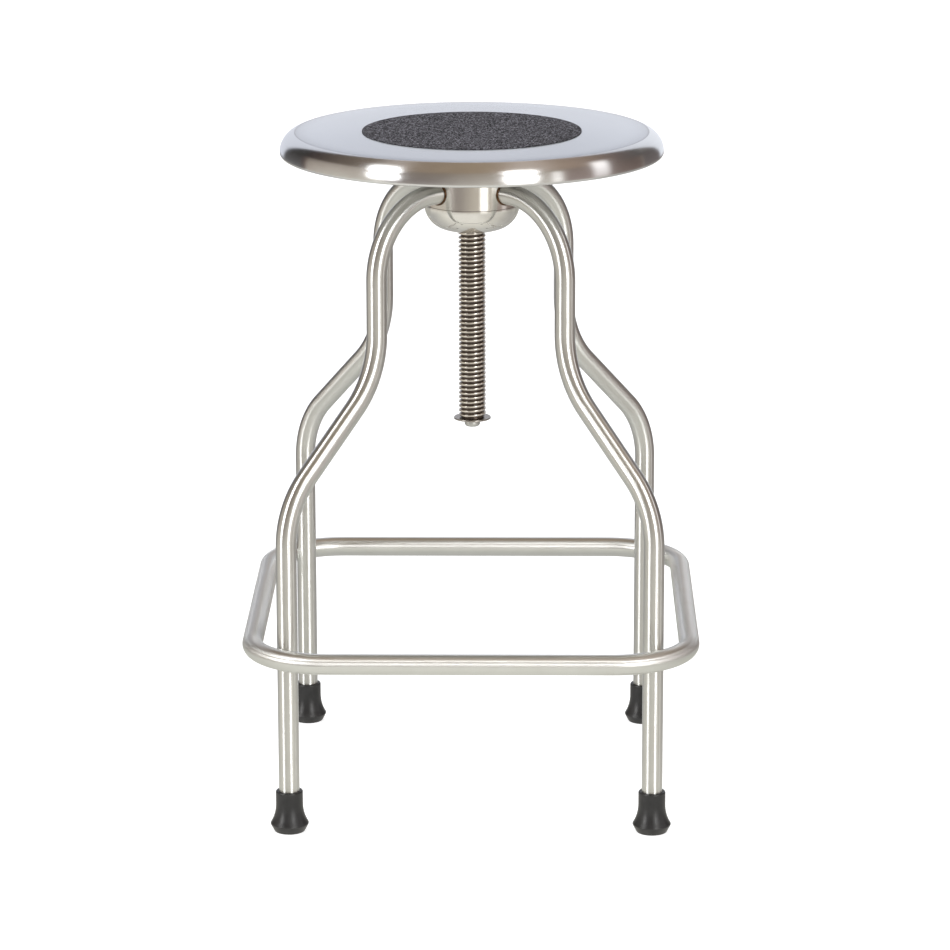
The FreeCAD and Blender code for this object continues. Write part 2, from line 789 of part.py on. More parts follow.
# four countersunk holes in its flange
x, hs, hh = d("nut_screw_circle"), d("nut_screw_radius"), d("nut_screw_head")
seat_hole = turned(
    nut,
    "lift_nut_hole",
    [
        (x, nut_flange_z - 0.5),
        (x + hs + 0.2, nut_flange_z - 0.5),
        (x + hs + 0.2, d("hub_top_z") - (hh - hs)),
        (x + hh + 0.2, d("hub_top_z")),
        (x + hh + 0.2, d("hub_top_z") + 1.0),
        (x, d("hub_top_z") + 1.0),
    ],
    kind="Groove",
    axis=((x, nut_flange_z - 5.0), (x, d("hub_top_z") + 5.0)),
)
before = volume_drop(nut, before, "countersunk hole")
repeated(nut, "lift_nut_holes", [seat_hole], 4)

screws = new_body("nut_screws")
csk = turned(
    screws,
    "nut_screws_turned",
    [
        (x, d("hub_top_z") - 0.1 - d("nut_screw_length")),
        (x + hs, d("hub_top_z") - 0.1 - d("nut_screw_length")),
        (x + hs, d("hub_top_z") - 0.1 - (hh - hs)),
        (x + hh, d("hub_top_z") - 0.1),
        (x, d("hub_top_z") - 0.1),
    ],
    axis=((x, d("hub_top_z") - 30.0), (x, d("hub_top_z") + 5.0)),
)
doc.recompute()
before = screws.Shape.Volume
socket = pocketed(
    screws, "nut_screws_socket", hexagon(d("nut_screw_socket"), x), d("hub_top_z") - 0.1, 1.8
)
before = volume_drop(screws, before, "socket")
repeated(screws, "nut_screws_all", [csk, socket], 4)

# the nylon washer that the seat's flange comes down on
thrust = new_body("thrust_washer")
padded(
    thrust,
    "thrust_washer_ring",
    lambda s: (ring(s, d("thrust_outer")), ring(s, d("thrust_inner"))),
    d("hub_top_z"),
    d("thrust_thick"),
)

# ---------------------------------------------------------------- legs
# one bent tube: out of the hub, down, outwards on a slope, and down to the floor
q = d("leg_slope")
neck, foot = d("leg_neck_radius"), d("leg_foot_radius")
t_knee = d("leg_bend_knee") * tand(q / 2)
t_foot = d("leg_bend_foot") * tand(q / 2)
foot_corner_z = d("leg_knee_z") - (foot - neck) / tand(q)
LEG_PATH = [
    (d("leg_inner_start"), d("leg_top_z")),
    (neck - d("leg_bend_top"), d("leg_top_z"), -d("leg_bend_top")),
    (neck, d("leg_top_z") - d("leg_bend_top")),
    (neck, d("leg_knee_z") + t_knee, d("leg_bend_knee")),
    (neck + t_knee * sind(q), d("leg_knee_z") - t_knee * cosd(q)),
    (foot - t_foot * sind(q), foot_corner_z + t_foot * cosd(q), -d("leg_bend_foot")),
    (foot, foot_corner_z - t_foot),
    (foot, leg_end_z),
]
CORNERS = [
    ("front_left", 225.0),
    ("front_right", 315.0),
    ("back_left", 135.0),
    ("back_right", 45.0),
]
for place, angle in CORNERS:
    label = "leg_" + place
    leg = new_body(label, angle)
    path = new_sketch(leg, label + "_path", "XZ_Plane")
    draw(path, LEG_PATH, closed=False)
    section = new_sketch(leg, label + "_section", "YZ_Plane", d("leg_inner_start"))
    ring(section, d("tube_radius"), 0, d("leg_top_z"))
    ring(section, d("tube_radius") - d("tube_wall"), 0, d("leg_top_z"))
    doc.recompute()
    tube = leg.newObject("PartDesign::AdditivePipe", label + "_tube")
    tube.Profile = section
    tube.Spine = path
    doc.recompute()
    before = leg.Shape.Volume
    # the end is coped to the collar's round side
    turned(
        leg,
        label + "_cope",
        [
            (0, d("leg_top_z") - 15.0),
            (d("hub_radius") + 0.02, d("leg_top_z") - 15.0),
            (d("hub_radius") + 0.02, d("leg_top_z") + 15.0),
            (0, d("leg_top_z") + 15.0),
        ],
        kind="Groove",
    )
    volume_drop(leg, before, "cope")

# the weld seams round the legs' upper ends
seams = new_body("leg_hub_welds", 45.0)
seam = turned(
    seams,
    "leg_hub_welds_ring",
    [
        (d("seam_start"), d("leg_top_z") + d("seam_inner")),
        (d("seam_end"), d("leg_top_z") + d("seam_inner")),
        (d("seam_flat"), d("leg_top_z") + d("seam_outer")),
        (d("seam_start"), d("leg_top_z") + d("seam_outer")),
    ],
    axis=((d("seam_start") - 2.0, d("leg_top_z")), (d("seam_end") + 2.0, d("leg_top_z"))),
)
repeated(seams, "leg_hub_welds_all", [seam], 4)
doc.recompute()
before = seams.Shape.Volume
turned(
    seams,
    "leg_hub_welds_cope",
    [
        (0, d("leg_top_z") - 18.0),
        (d("hub_radius") + 0.01, d("leg_top_z") - 18.0),
        (d("hub_radius") + 0.01, d("leg_top_z") + 18.0),
        (0, d("leg_top_z") + 18.0),
    ],
    kind="Groove",
)
volume_drop(seams, before, "cope")

# ---------------------------------------------------------------- foot rail
# a rounded square of the same tube, outside the legs; each corner's bend just clears its leg
wide = d("rail_half")
corner_reach = foot + 2 * d("tube_radius") + d("rail_gap")
bend = (wide * math.sqrt(2.0) - corner_reach) / (math.sqrt(2.0) - 1.0)
straight = wide - bend
rail = new_body("footrest_ring")
path = new_sketch(rail, "footrest_ring_path", "XY_Plane", d("rail_z"))
draw(
    path,
    [
        (straight, -wide, bend),
        (wide, -straight),
        (wide, straight, bend),
        (straight, wide),
        (-straight, wide, bend),
        (-wide, straight),
        (-wide, -straight, bend),
        (-straight, -wide),
    ],
)
section = new_sketch(rail, "footrest_ring_section", "YZ_Plane", straight)
ring(section, d("tube_radius"), -wide, d("rail_z"))
doc.recompute()
tube = rail.newObject("PartDesign::AdditivePipe", "footrest_ring_tube")
tube.Profile = section
tube.Spine = path
doc.recompute()
before = rail.Shape.Volume
inside = new_sketch(rail, "footrest_ring_inside", "YZ_Plane", straight)
ring(inside, d("tube_radius") - d("tube_wall"), -wide, d("rail_z"))
doc.recompute()
hollow = rail.newObject("PartDesign::SubtractivePipe", "footrest_ring_hollow")
hollow.Profile = inside
hollow.Spine = path
before = volume_drop(rail, before, "hollow")

# the welds: what fills the narrow wedge between a leg and the bend that passes it
bend_centre = straight * math.sqrt(2.0)
touch = foot + d("tube_radius")
blobs = []
for place, angle in CORNERS:
    spin = Placement(Vector(0, 0, 0), Rotation(Vector(0, 0, 1), angle))

    def put(obj, x, z):
        obj.Placement = spin.multiply(Placement(Vector(x, 0, z), Rotation()))

    ball = doc.addObject("Part::Sphere", "rail_weld_ball_" + place)
    ball.Radius = d("rail_weld").value
    ball.setExpression("Radius", d("rail_weld").text)
    put(ball, touch.value, d("rail_z").value)
    post = doc.addObject("Part::Cylinder", "rail_weld_post_" + place)
    post.Radius = d("tube_radius").value
    post.setExpression("Radius", d("tube_radius").text)
    post.Height = 40.0
    put(post, foot.value, d("rail_z").value - 20.0)
    elbow = doc.addObject("Part::Torus", "rail_weld_bend_" + place)
    elbow.Radius1 = bend.value
    elbow.setExpression("Radius1", bend.text)
    elbow.Radius2 = d("tube_radius").value
    elbow.setExpression("Radius2", d("tube_radius").text)
    put(elbow, bend_centre.value, d("rail_z").value)
    first = doc.addObject("Part::Cut", "rail_weld_first_" + place)
    first.Base, first.Tool = ball, post
    second = doc.addObject("Part::Cut", "rail_weld_" + place)
    second.Base, second.Tool = first, elbow
    blobs.append(second)
rail_welds = doc.addObject("Part::Compound", "footrest_welds")
rail_welds.Label = "footrest_welds"
rail_welds.Links = blobs
PIECES.append(("footrest_welds", rail_welds))

# ---------------------------------------------------------------- feet
# a rubber tip with a hollow flare, a bevelled sole and a blind bore for the tube
leg_at = foot.value / math.sqrt(2.0)
for place, angle in CORNERS:
    label = "foot_tip_" + place
    turn = math.radians(angle)
    tip = new_body(
        label, angle, (foot.value * math.cos(turn), foot.value * math.sin(turn), 0.0)
    )
    rr = d("tip_rim_round")
    turned(
        tip,
        label + "_turned",
        [
            (0, 0),
            (d("tip_sole_radius") - d("tip_sole_bevel"), 0),
            (d("tip_sole_radius"), d("tip_sole_bevel")),
            (d("tip_belly_radius"), d("tip_belly_z")),
            (d("tip_flare_radius"), d("tip_flare_z"), -d("tip_flare_arc")),
            (d("tip_neck"), d("tip_neck_z")),
            (d("tip_neck"), d("tip_height") - rr, rr),
            (d("tip_neck") - rr, d("tip_height")),
            (d("tip_bore"), d("tip_height")),
            (d("tip_bore"), d("tip_floor")),
            (0, d("tip_floor")),
        ],
    )

discs = new_body("foot_washers", 45.0)
disc = padded(
    discs,
    "foot_washers_disc",
    lambda s: ring(s, d("foot_washer_radius"), foot),
    d("tip_floor"),
    d("foot_washer_thick"),
)
repeated(discs, "foot_washers_all", [disc], 4)

doc.recompute()

# ---------------------------------------------------------------- tests, then the files
failed = [o.Name for o in doc.Objects if "Invalid" in o.State or "Error" in o.State]
if failed:
    raise RuntimeError("failed objects: %s" % ", ".join(failed))
for label, piece in PIECES:
    if piece.Shape.isNull() or not piece.Shape.isValid() or not piece.Shape.Solids:
        raise RuntimeError("bad shape: %s" % label)

tube_area = math.pi * (NUMBER["tube_radius"] ** 2 - (NUMBER["tube_radius"] - NUMBER["tube_wall"]) ** 2)
rail_length = 8 * straight.value + 2 * math.pi * bend.value
print("rail bend %.3f, tube volume %.0f, shape %.0f" % (bend.value, tube_area * rail_length, rail.Shape.Volume))

os.makedirs("parts", exist_ok=True)
for label, piece in PIECES:
    piece.Shape.exportStep("parts/%s.step" % label)
    print("%-24s %2d solids %12.1f mm3" % (label, len(piece.Shape.Solids), piece.Shape.Volume))
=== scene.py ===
import json
import math

import bmesh
import bpy
from mathutils import Matrix, Vector


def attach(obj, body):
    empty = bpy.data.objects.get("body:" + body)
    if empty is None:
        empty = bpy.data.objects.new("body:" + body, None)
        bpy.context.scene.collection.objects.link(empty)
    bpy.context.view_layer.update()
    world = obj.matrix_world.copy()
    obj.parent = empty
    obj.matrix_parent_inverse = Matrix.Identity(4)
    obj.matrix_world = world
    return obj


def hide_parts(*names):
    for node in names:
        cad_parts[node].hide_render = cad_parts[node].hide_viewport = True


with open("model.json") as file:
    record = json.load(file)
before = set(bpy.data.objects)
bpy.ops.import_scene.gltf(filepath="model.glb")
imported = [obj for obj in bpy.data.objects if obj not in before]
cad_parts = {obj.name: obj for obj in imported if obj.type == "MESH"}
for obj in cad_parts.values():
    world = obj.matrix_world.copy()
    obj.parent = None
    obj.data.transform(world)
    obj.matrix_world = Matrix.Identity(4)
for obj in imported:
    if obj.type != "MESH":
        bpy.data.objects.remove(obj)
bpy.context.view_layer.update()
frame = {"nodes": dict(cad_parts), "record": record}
nodes = frame["nodes"]
scene = bpy.context.scene
MM = 0.001
FOOT = 236.23
CORNERS = [
    ("front_left", 225.0),
    ("front_right", 315.0),
    ("back_left", 135.0),
    ("back_right", 45.0),
]

# ---------------------------------------------------------------- camera
# where the photograph was taken from, in metres
eye = Vector((0.0558, -3.8344, 1.2856))
look_at = Vector((0.00236, 0.0, 0.29585))
roll = math.radians(-0.113)
fwd = (look_at - eye).normalized()
right = fwd.cross(Vector((0, 0, 1))).normalized()
up = right.cross(fwd)
r2 = math.cos(roll) * right + math.sin(roll) * up
u2 = -math.sin(roll) * right + math.cos(roll) * up
cam_data = bpy.data.cameras.new("camera")
cam_data.sensor_width = 36.0
cam_data.lens = 4192.8 / 950.0 * 36.0
cam_data.clip_end = 100.0
cam = bpy.data.objects.new("camera", cam_data)
m = Matrix.Identity(4)
for i, axis in enumerate((r2, u2, -fwd)):
    for k in range(3):
        m[k][i] = axis[k]
for k in range(3):
    m[k][3] = eye[k]
cam.matrix_world = m
scene.collection.objects.link(cam)
scene.camera = cam


# ---------------------------------------------------------------- node helpers
class Paint:
    """A material made of nodes, with a principled shader at its end."""

    def __init__(self, name):
        self.mat = bpy.data.materials.new(name)
        self.mat.use_nodes = True
        self.tree = self.mat.node_tree
        self.tree.nodes.clear()
        self.out = self.tree.nodes.new("ShaderNodeOutputMaterial")
        self.bsdf = self.tree.nodes.new("ShaderNodeBsdfPrincipled")
        self.tree.links.new(self.bsdf.outputs[0], self.out.inputs[0])

    def feed(self, socket, value):
        if isinstance(value, bpy.types.NodeSocket):
            self.tree.links.new(value, socket)
        else:
            socket.default_value = value

    def set(self, **values):
        for key, value in values.items():
            self.feed(self.bsdf.inputs[key.replace("_", " ")], value)

    def add(self, kind, out=0, **values):
        node = self.tree.nodes.new(kind)
        for key, value in values.items():
            self.feed(node.inputs[key], value)
        return node.outputs[out]

    def object_xyz(self):
        return self.add("ShaderNodeTexCoord", out="Object")

    def uv(self, name="along"):
        node = self.tree.nodes.new("ShaderNodeUVMap")
        node.uv_map = name
        return node.outputs[0]

    def split(self, vector):
        node = self.tree.nodes.new("ShaderNodeSeparateXYZ")
        self.feed(node.inputs[0], vector)
        return node.outputs[0], node.outputs[1], node.outputs[2]

    def join(self, x, y, z):
        node = self.tree.nodes.new("ShaderNodeCombineXYZ")
        for socket, value in zip(node.inputs, (x, y, z)):
            self.feed(socket, value)
        return node.outputs[0]

    def math(self, operation, a, b=0.0, c=0.0):
        node = self.tree.nodes.new("ShaderNodeMath")
        node.operation = operation
        for socket, value in zip(node.inputs, (a, b, c)):
            self.feed(socket, value)
        return node.outputs[0]

    def scaled(self, vector, x, y, z):
        node = self.tree.nodes.new("ShaderNodeMapping")
        self.feed(node.inputs["Vector"], vector)
        node.inputs["Scale"].default_value = (x, y, z)
        return node.outputs[0]

    def noise(self, vector, scale, detail=2.0, rough=0.5, distort=0.0):
        return self.add(
            "ShaderNodeTexNoise",
            Vector=vector,
            Scale=scale,
            Detail=detail,
            Roughness=rough,
            Distortion=distort,
        )

    def voronoi(self, vector, scale, feature="F1", out="Distance"):
        node = self.tree.nodes.new("ShaderNodeTexVoronoi")
        node.feature = feature
        self.feed(node.inputs["Vector"], vector)
        node.inputs["Scale"].default_value = scale
        return node.outputs[out]

    def span(self, value, a, b, c, d, smooth=False):
        node = self.tree.nodes.new("ShaderNodeMapRange")
        node.interpolation_type = "SMOOTHSTEP" if smooth else "LINEAR"
        for socket, v in zip(node.inputs, (value, a, b, c, d)):
            self.feed(socket, v)
        return node.outputs[0]

    def ramp(self, value, stops):
        node = self.tree.nodes.new("ShaderNodeValToRGB")
        self.feed(node.inputs[0], value)
        el = node.color_ramp.elements
        while len(el) < len(stops):
            el.new(0.5)
        for e, (place, colour) in zip(el, stops):
            e.position = place
            e.color = (*colour, 1.0) if len(colour) == 3 else colour
        return node.outputs[0]

    def mix(self, fac, a, b, blend="MIX"):
        node = self.tree.nodes.new("ShaderNodeMix")
        node.data_type = "RGBA"
        node.blend_type = blend
        self.feed(node.inputs[0], fac)
        for socket, value in ((node.inputs[6], a), (node.inputs[7], b)):
            if not isinstance(value, bpy.types.NodeSocket):
                value = (*value, 1.0)
            self.feed(socket, value)
        return node.outputs[2]

    def bump(self, height, strength, distance, normal=None):
        node = self.tree.nodes.new("ShaderNodeBump")
        node.inputs["Strength"].default_value = strength
        node.inputs["Distance"].default_value = distance
        self.feed(node.inputs["Height"], height)
        if normal is not None:
            self.feed(node.inputs["Normal"], normal)
        return node.outputs[0]

    def polar(self, xyz, lines, turn, along=1.0):
        """A vector whose first part runs outwards and upwards, for marks that go round the Z axis."""
        x, y, z = self.split(xyz)
        r = self.math("SQRT", self.math("ADD", self.math("MULTIPLY", x, x), self.math("MULTIPLY", y, y)))
        safe = self.math("MAXIMUM", r, 1e-5)
        q = self.math("MULTIPLY", self.math("ADD", r, self.math("MULTIPLY", z, along)), lines)
        return r, self.join(
            q,
            self.math("MULTIPLY", self.math("DIVIDE", x, safe), turn),
            self.math("MULTIPLY", self.math("DIVIDE", y, safe), turn),
        )


MATERIALS = {}

# ---------------------------------------------------------------- finishes
# seat: satin stainless, spun, so its fine marks run round the axis
p = Paint("seat_steel")
xyz = p.object_xyz()
r, turned = p.polar(xyz, 2600.0, 5.0)
fine = p.noise(turned, 1.0, 2.0, 0.6)
smudge = p.noise(xyz, 11.0, 5.0, 0.55, 0.4)
cloud = p.noise(xyz, 3.2, 2.0)
tone = p.mix(p.span(smudge, 0.35, 0.7, 0.0, 1.0), (0.80, 0.805, 0.815), (0.755, 0.76, 0.77))
tone = p.mix(p.span(fine, 0.3, 0.75, 0.0, 0.35), tone, (0.70, 0.70, 0.705))
# the flat is painted darker towards the line where it rolls over, as shade
crease_shade = p.span(r, 0.148, 0.1632, 0.0, 1.0)
crease_shade = p.math("MULTIPLY", p.math("MULTIPLY", crease_shade, crease_shade), p.span(r, 0.1636, 0.1646, 1.0, 0.0, True))
tone = p.mix(p.math("MULTIPLY", crease_shade, p.span(smudge, 0.3, 0.7, 0.75, 1.0)), tone, (0.66, 0.66, 0.665))
# the flat is brushed to a satin less metallic than the roll, and its colour is painted lighter and bluer, as a sheen
flat_satin_and_sheen = p.math("MULTIPLY", p.span(r, 0.1622, 0.1640, 1.0, 0.0, True), p.span(p.split(xyz)[2], 0.6236, 0.6242, 0.0, 1.0))
tone = p.mix(flat_satin_and_sheen, tone, p.mix(1.0, tone, (1.07, 1.11, 1.155), "MULTIPLY"))
# and dished by about two millimetres, more steeply towards that line
flat = p.math("MINIMUM", r, 0.1643)
outer = p.math("MAXIMUM", p.math("SUBTRACT", flat, 0.144), 0.0)
dish = p.math(
    "ADD", p.math("MULTIPLY", flat, flat), p.math("MULTIPLY", p.math("MULTIPLY", outer, outer), 10.0)
)
tangent = p.tree.nodes.new("ShaderNodeTangent")
tangent.direction_type = "RADIAL"
tangent.axis = "Z"
p.set(
    Base_Color=tone,
    Metallic=p.span(flat_satin_and_sheen, 0.0, 1.0, 1.0, 0.76),
    Roughness=p.math(
        "ADD", p.span(smudge, 0.3, 0.75, 0.165, 0.19), p.span(fine, 0.25, 0.75, -0.015, 0.015)
    ),
    Anisotropic=0.7,
    Anisotropic_Rotation=0.25,
    Tangent=tangent.outputs[0],
    Normal=p.bump(fine, 0.05, 0.00002, p.bump(cloud, 0.12, 0.0012, p.bump(dish, 1.0, 0.065))),
)
MATERIALS["seat_steel"] = p.mat

# anti-slip disc: dark grey, with a fine bright grit
p = Paint("mat_grit")
xyz = p.object_xyz()
grain = p.noise(xyz, 720.0, 3.0, 0.7)
speck = p.voronoi(xyz, 660.0)
patch = p.noise(xyz, 30.0, 4.0, 0.6)
tone = p.ramp(grain, [(0.44, (0.003, 0.003, 0.004)), (0.515, (0.014, 0.013, 0.016)), (0.595, (0.208, 0.204, 0.232))])
tone = p.mix(p.span(speck, 0.08, 0.26, 0.25, 0.0), tone, (0.18, 0.18, 0.20))
tone = p.mix(p.span(patch, 0.35, 0.7, 0.0, 0.15), tone, (0.035, 0.034, 0.04))
# the cut edge of the sheet is plain
tone = p.mix(p.span(p.split(xyz)[2], 0.62518, 0.62542, 0.9, 0.0, True), tone, (0.022, 0.022, 0.025))
p.set(
    Base_Color=tone,
    Roughness=p.span(grain, 0.3, 0.7, 0.95, 0.7),
    Normal=p.bump(p.math("SUBTRACT", grain, speck), 0.6, 0.0003),
)
p.bsdf.inputs["Specular IOR Level"].default_value = 0.15
MATERIALS["mat_grit"] = p.mat

# legs and foot rail: bright-polished tube, with marks that go round it and a heat tint at the ends
p = Paint("tube_steel")
along = p.uv()
u, v, _ = p.split(along)
marks = p.noise(p.scaled(along, 2600.0, 60.0, 1.0), 1.0, 2.0, 0.6)
streak = p.noise(p.scaled(along, 9.0, 160.0, 1.0), 1.0, 3.0, 0.5)
smudge = p.noise(p.scaled(along, 38.0, 60.0, 1.0), 1.0, 5.0, 0.6, 0.6)
wave = p.noise(p.scaled(along, 22.0, 24.0, 1.0), 1.0, 1.0)
tone = p.mix(p.span(smudge, 0.35, 0.72, 0.0, 1.0), (0.795, 0.805, 0.79), (0.76, 0.768, 0.75))
tone = p.mix(p.span(marks, 0.3, 0.75, 0.0, 0.10), tone, (0.66, 0.65, 0.625))
heat = p.span(
    p.math("ADD", p.add("ShaderNodeAttribute", out="Fac"), p.span(smudge, 0.3, 0.7, -0.12, 0.12)),
    0.0, 1.0, 0.0, 1.0,
)
tone = p.mix(
    p.span(heat, 0.05, 0.5, 0.0, 0.75, True),
    tone,
    p.ramp(heat, [(0.1, (0.76, 0.68, 0.53)), (0.45, (0.66, 0.47, 0.26)), (0.7, (0.42, 0.25, 0.15)), (0.95, (0.22, 0.15, 0.13))]),
)
for n in p.tree.nodes:
    if n.type == "ATTRIBUTE":
        n.attribute_name = "heat"
tangent = p.tree.nodes.new("ShaderNodeTangent")
tangent.direction_type = "UV_MAP"
tangent.uv_map = "along"
p.set(
    Base_Color=tone,
    Metallic=1.0,
    Roughness=p.math(
        "ADD",
        p.math("ADD", p.span(smudge, 0.3, 0.75, 0.28, 0.30), p.span(marks, 0.25, 0.75, -0.006, 0.006)),
        p.span(heat, 0.2, 1.0, 0.0, 0.12),
    ),
    Anisotropic=1.0,
    Tangent=tangent.outputs[0],
    Normal=p.bump(p.math("ADD", wave, p.math("MULTIPLY", streak, 0.02)), 0.02, 0.0003),
)
MATERIALS["tube_steel"] = p.mat

# hub: turned stainless, tool marks round it
p = Paint("hub_steel")
xyz = p.object_xyz()
r, turned = p.polar(xyz, 2400.0, 2.0)
fine = p.noise(turned, 1.0, 3.0, 0.65)
smudge = p.noise(xyz, 45.0, 4.0, 0.6, 0.5)
tone = p.mix(p.span(fine, 0.3, 0.7, 0.0, 0.6), (0.83, 0.81, 0.775), (0.67, 0.65, 0.615))
tone = p.mix(p.span(smudge, 0.45, 0.8, 0.0, 0.4), tone, (0.64, 0.585, 0.52))
seam = p.span(p.split(xyz)[2], 0.5569, 0.5577, 0.85, 0.0, True)
tone = p.mix(seam, tone, (0.13, 0.105, 0.09))
tangent = p.tree.nodes.new("ShaderNodeTangent")
tangent.direction_type = "RADIAL"
tangent.axis = "Z"
p.set(
    Base_Color=tone,
    Metallic=1.0,
    Roughness=p.math("ADD", p.span(smudge, 0.3, 0.75, 0.165, 0.195), p.span(fine, 0.25, 0.75, -0.02, 0.03)),
    Anisotropic=0.55,
    Anisotropic_Rotation=0.25,
    Tangent=tangent.outputs[0],
    Normal=p.bump(fine, 0.12, 0.00004),
)
MATERIALS["hub_steel"] = p.mat

# dished cap: mirror-polished
p = Paint("polished_steel")
xyz = p.object_xyz()
r, turned = p.polar(xyz, 2200.0, 6.0)
fine = p.noise(turned, 1.0, 2.0, 0.6)
smudge = p.noise(xyz, 55.0, 5.0, 0.6, 0.6)
tone = p.mix(p.span(smudge, 0.4, 0.75, 0.0, 1.0), (0.83, 0.82, 0.795), (0.77, 0.755, 0.725))
p.set(
    Base_Color=tone,
    Metallic=1.0,
    Roughness=p.math("ADD", p.span(smudge, 0.35, 0.75, 0.045, 0.10), p.span(fine, 0.3, 0.7, 0.0, 0.02)),
    Normal=p.bump(fine, 0.03, 0.00001, p.bump(p.noise(xyz, 60.0, 1.0), 0.05, 0.0005)),
)
MATERIALS["polished_steel"] = p.mat

# lift screw: machined steel, with old oil in the valleys of the thread; its colour is also painted near black in the
# valleys as shade and bright on the crests as a highlight
p = Paint("screw_steel")
xyz = p.object_xyz()
r, turned = p.polar(xyz, 3500.0, 8.0)
fine = p.noise(turned, 1.0, 3.0, 0.65)
smudge = p.noise(xyz, 160.0, 5.0, 0.65, 0.4)
depth = p.math("ADD", p.span(r, 0.0104, 0.0126, 0.0, 1.0), p.span(smudge, 0.3, 0.7, -0.18, 0.18))
# painted shade in the valleys of the thread, painted highlight on the crests
tone = p.ramp(depth, [(0.0, (0.055, 0.038, 0.029)), (0.35, (0.14, 0.10, 0.076)), (0.70, (0.44, 0.385, 0.325)), (0.95, (0.86, 0.82, 0.76))])
tone = p.mix(p.span(fine, 0.35, 0.75, 0.0, 0.25), tone, (0.30, 0.25, 0.205))
p.set(
    Base_Color=tone,
    Metallic=p.span(depth, 0.0, 0.6, 0.55, 1.0),
    Roughness=p.math("ADD", p.span(depth, 0.0, 1.0, 0.34, 0.17), p.span(fine, 0.3, 0.75, 0.0, 0.08)),
    Normal=p.bump(fine, 0.15, 0.00006),
)
MATERIALS["screw_steel"] = p.mat

# weld metal: fine ripples, with straw, brown and blue heat colours
p = Paint("weld_steel")
xyz = p.object_xyz()
blotch = p.noise(xyz, 420.0, 4.0, 0.6, 0.8)
fine = p.noise(xyz, 2600.0, 3.0, 0.6)
tone = p.ramp(blotch, [(0.28, (0.022, 0.015, 0.013)), (0.43, (0.075, 0.042, 0.024)), (0.56, (0.17, 0.095, 0.048)), (0.68, (0.11, 0.088, 0.08)), (0.78, (0.055, 0.055, 0.072))])
p.set(
    Base_Color=tone,
    Metallic=1.0,
    Roughness=p.math("ADD", p.span(blotch, 0.3, 0.7, 0.42, 0.28), p.span(fine, 0.3, 0.7, -0.04, 0.08)),
    Normal=p.bump(p.math("ADD", blotch, p.math("MULTIPLY", fine, 0.4)), 0.35, 0.00015),
)
MATERIALS["weld_steel"] = p.mat


def machined(name, flat_satin_and_sheen, dull, rough, lines=1600.0, blotches=90.0, grime=(0.20, 0.17, 0.14), grime_share=0.25, bump=0.10, metallic=1.0):
    """Plain turned, rolled or plated metal: marks round the axis, blotches and a little grime."""
    q = Paint(name)
    at = q.object_xyz()
    _, spun = q.polar(at, lines, 4.0)
    thin = q.noise(spun, 1.0, 3.0, 0.6)
    spot = q.noise(at, blotches, 5.0, 0.6, 0.5)
    dirt = q.noise(at, blotches * 0.35, 4.0, 0.65, 0.8)
    colour = q.mix(q.span(spot, 0.3, 0.7, 0.0, 1.0), flat_satin_and_sheen, dull)
    colour = q.mix(q.span(thin, 0.3, 0.75, 0.0, 0.35), colour, tuple(0.8 * k for k in dull))
    colour = q.mix(q.span(dirt, 0.55, 0.85, 0.0, grime_share), colour, grime)
    q.set(
        Base_Color=colour,
        Metallic=metallic,
        Roughness=q.math("ADD", q.span(spot, 0.3, 0.75, rough, rough + 0.12), q.span(thin, 0.3, 0.75, -0.03, 0.06)),
        Normal=q.bump(thin, bump, 0.00006, q.bump(spot, bump, 0.0002)),
    )
    MATERIALS[name] = q.mat
    return q


machined("pressed_steel", (0.66, 0.655, 0.64), (0.56, 0.555, 0.54), 0.30, lines=500.0, blotches=25.0)
machined("plate_steel", (0.60, 0.59, 0.57), (0.48, 0.47, 0.45), 0.30, lines=1300.0)
machined("zinc_steel", (0.70, 0.70, 0.685), (0.58, 0.59, 0.58), 0.26, lines=3000.0, blotches=260.0)
machined("washer_steel", (0.50, 0.475, 0.445), (0.35, 0.33, 0.305), 0.20, lines=2600.0, blotches=200.0)
machined("bronze", (0.62, 0.43, 0.21), (0.48, 0.31, 0.14), 0.28, lines=2600.0, blotches=140.0, grime=(0.14, 0.09, 0.05), grime_share=0.5)

# natural nylon
p = Paint("nylon")
xyz = p.object_xyz()
cloud = p.noise(xyz, 120.0, 4.0, 0.6)
wear = p.noise(xyz, 35.0, 5.0, 0.65, 0.8)
tone = p.mix(p.span(cloud, 0.3, 0.7, 0.0, 1.0), (0.80, 0.775, 0.70), (0.70, 0.67, 0.59))
tone = p.mix(p.span(wear, 0.5, 0.8, 0.0, 0.5), tone, (0.42, 0.38, 0.31))
p.set(
    Base_Color=tone,
    Roughness=p.span(cloud, 0.3, 0.7, 0.42, 0.6),
    Normal=p.bump(cloud, 0.2, 0.0002),
)
MATERIALS["nylon"] = p.mat

# rubber tips: black, a grey bloom, dust near the floor and scuffs
p = Paint("tip_rubber")
xyz = p.object_xyz()
x, y, z = p.split(xyz)
pores = p.noise(xyz, 1400.0, 3.0, 0.65)
bloom = p.noise(xyz, 85.0, 5.0, 0.62, 0.6)
scuff = p.noise(p.scaled(xyz, 1.0, 1.0, 6.0), 240.0, 4.0, 0.7, 0.4)
tone = p.mix(p.span(bloom, 0.3, 0.72, 0.0, 1.0), (0.009, 0.009, 0.0095), (0.017, 0.017, 0.0178))
tone = p.mix(p.span(scuff, 0.62, 0.8, 0.0, 0.25), tone, (0.06, 0.06, 0.061))
dust = p.math("MULTIPLY", p.span(z, 0.0, 0.009, 1.0, 0.0), p.span(bloom, 0.35, 0.65, 0.3, 1.0))
tone = p.mix(p.math("MULTIPLY", dust, 0.25), tone, (0.09, 0.088, 0.083))
p.set(
    Base_Color=tone,
    Roughness=p.math("ADD", p.span(bloom, 0.3, 0.7, 0.29, 0.41), p.span(pores, 0.3, 0.7, -0.04, 0.05)),
    Normal=p.bump(pores, 0.25, 0.00012, p.bump(bloom, 0.15, 0.0004)),
)
MATERIALS["tip_rubber"] = p.mat


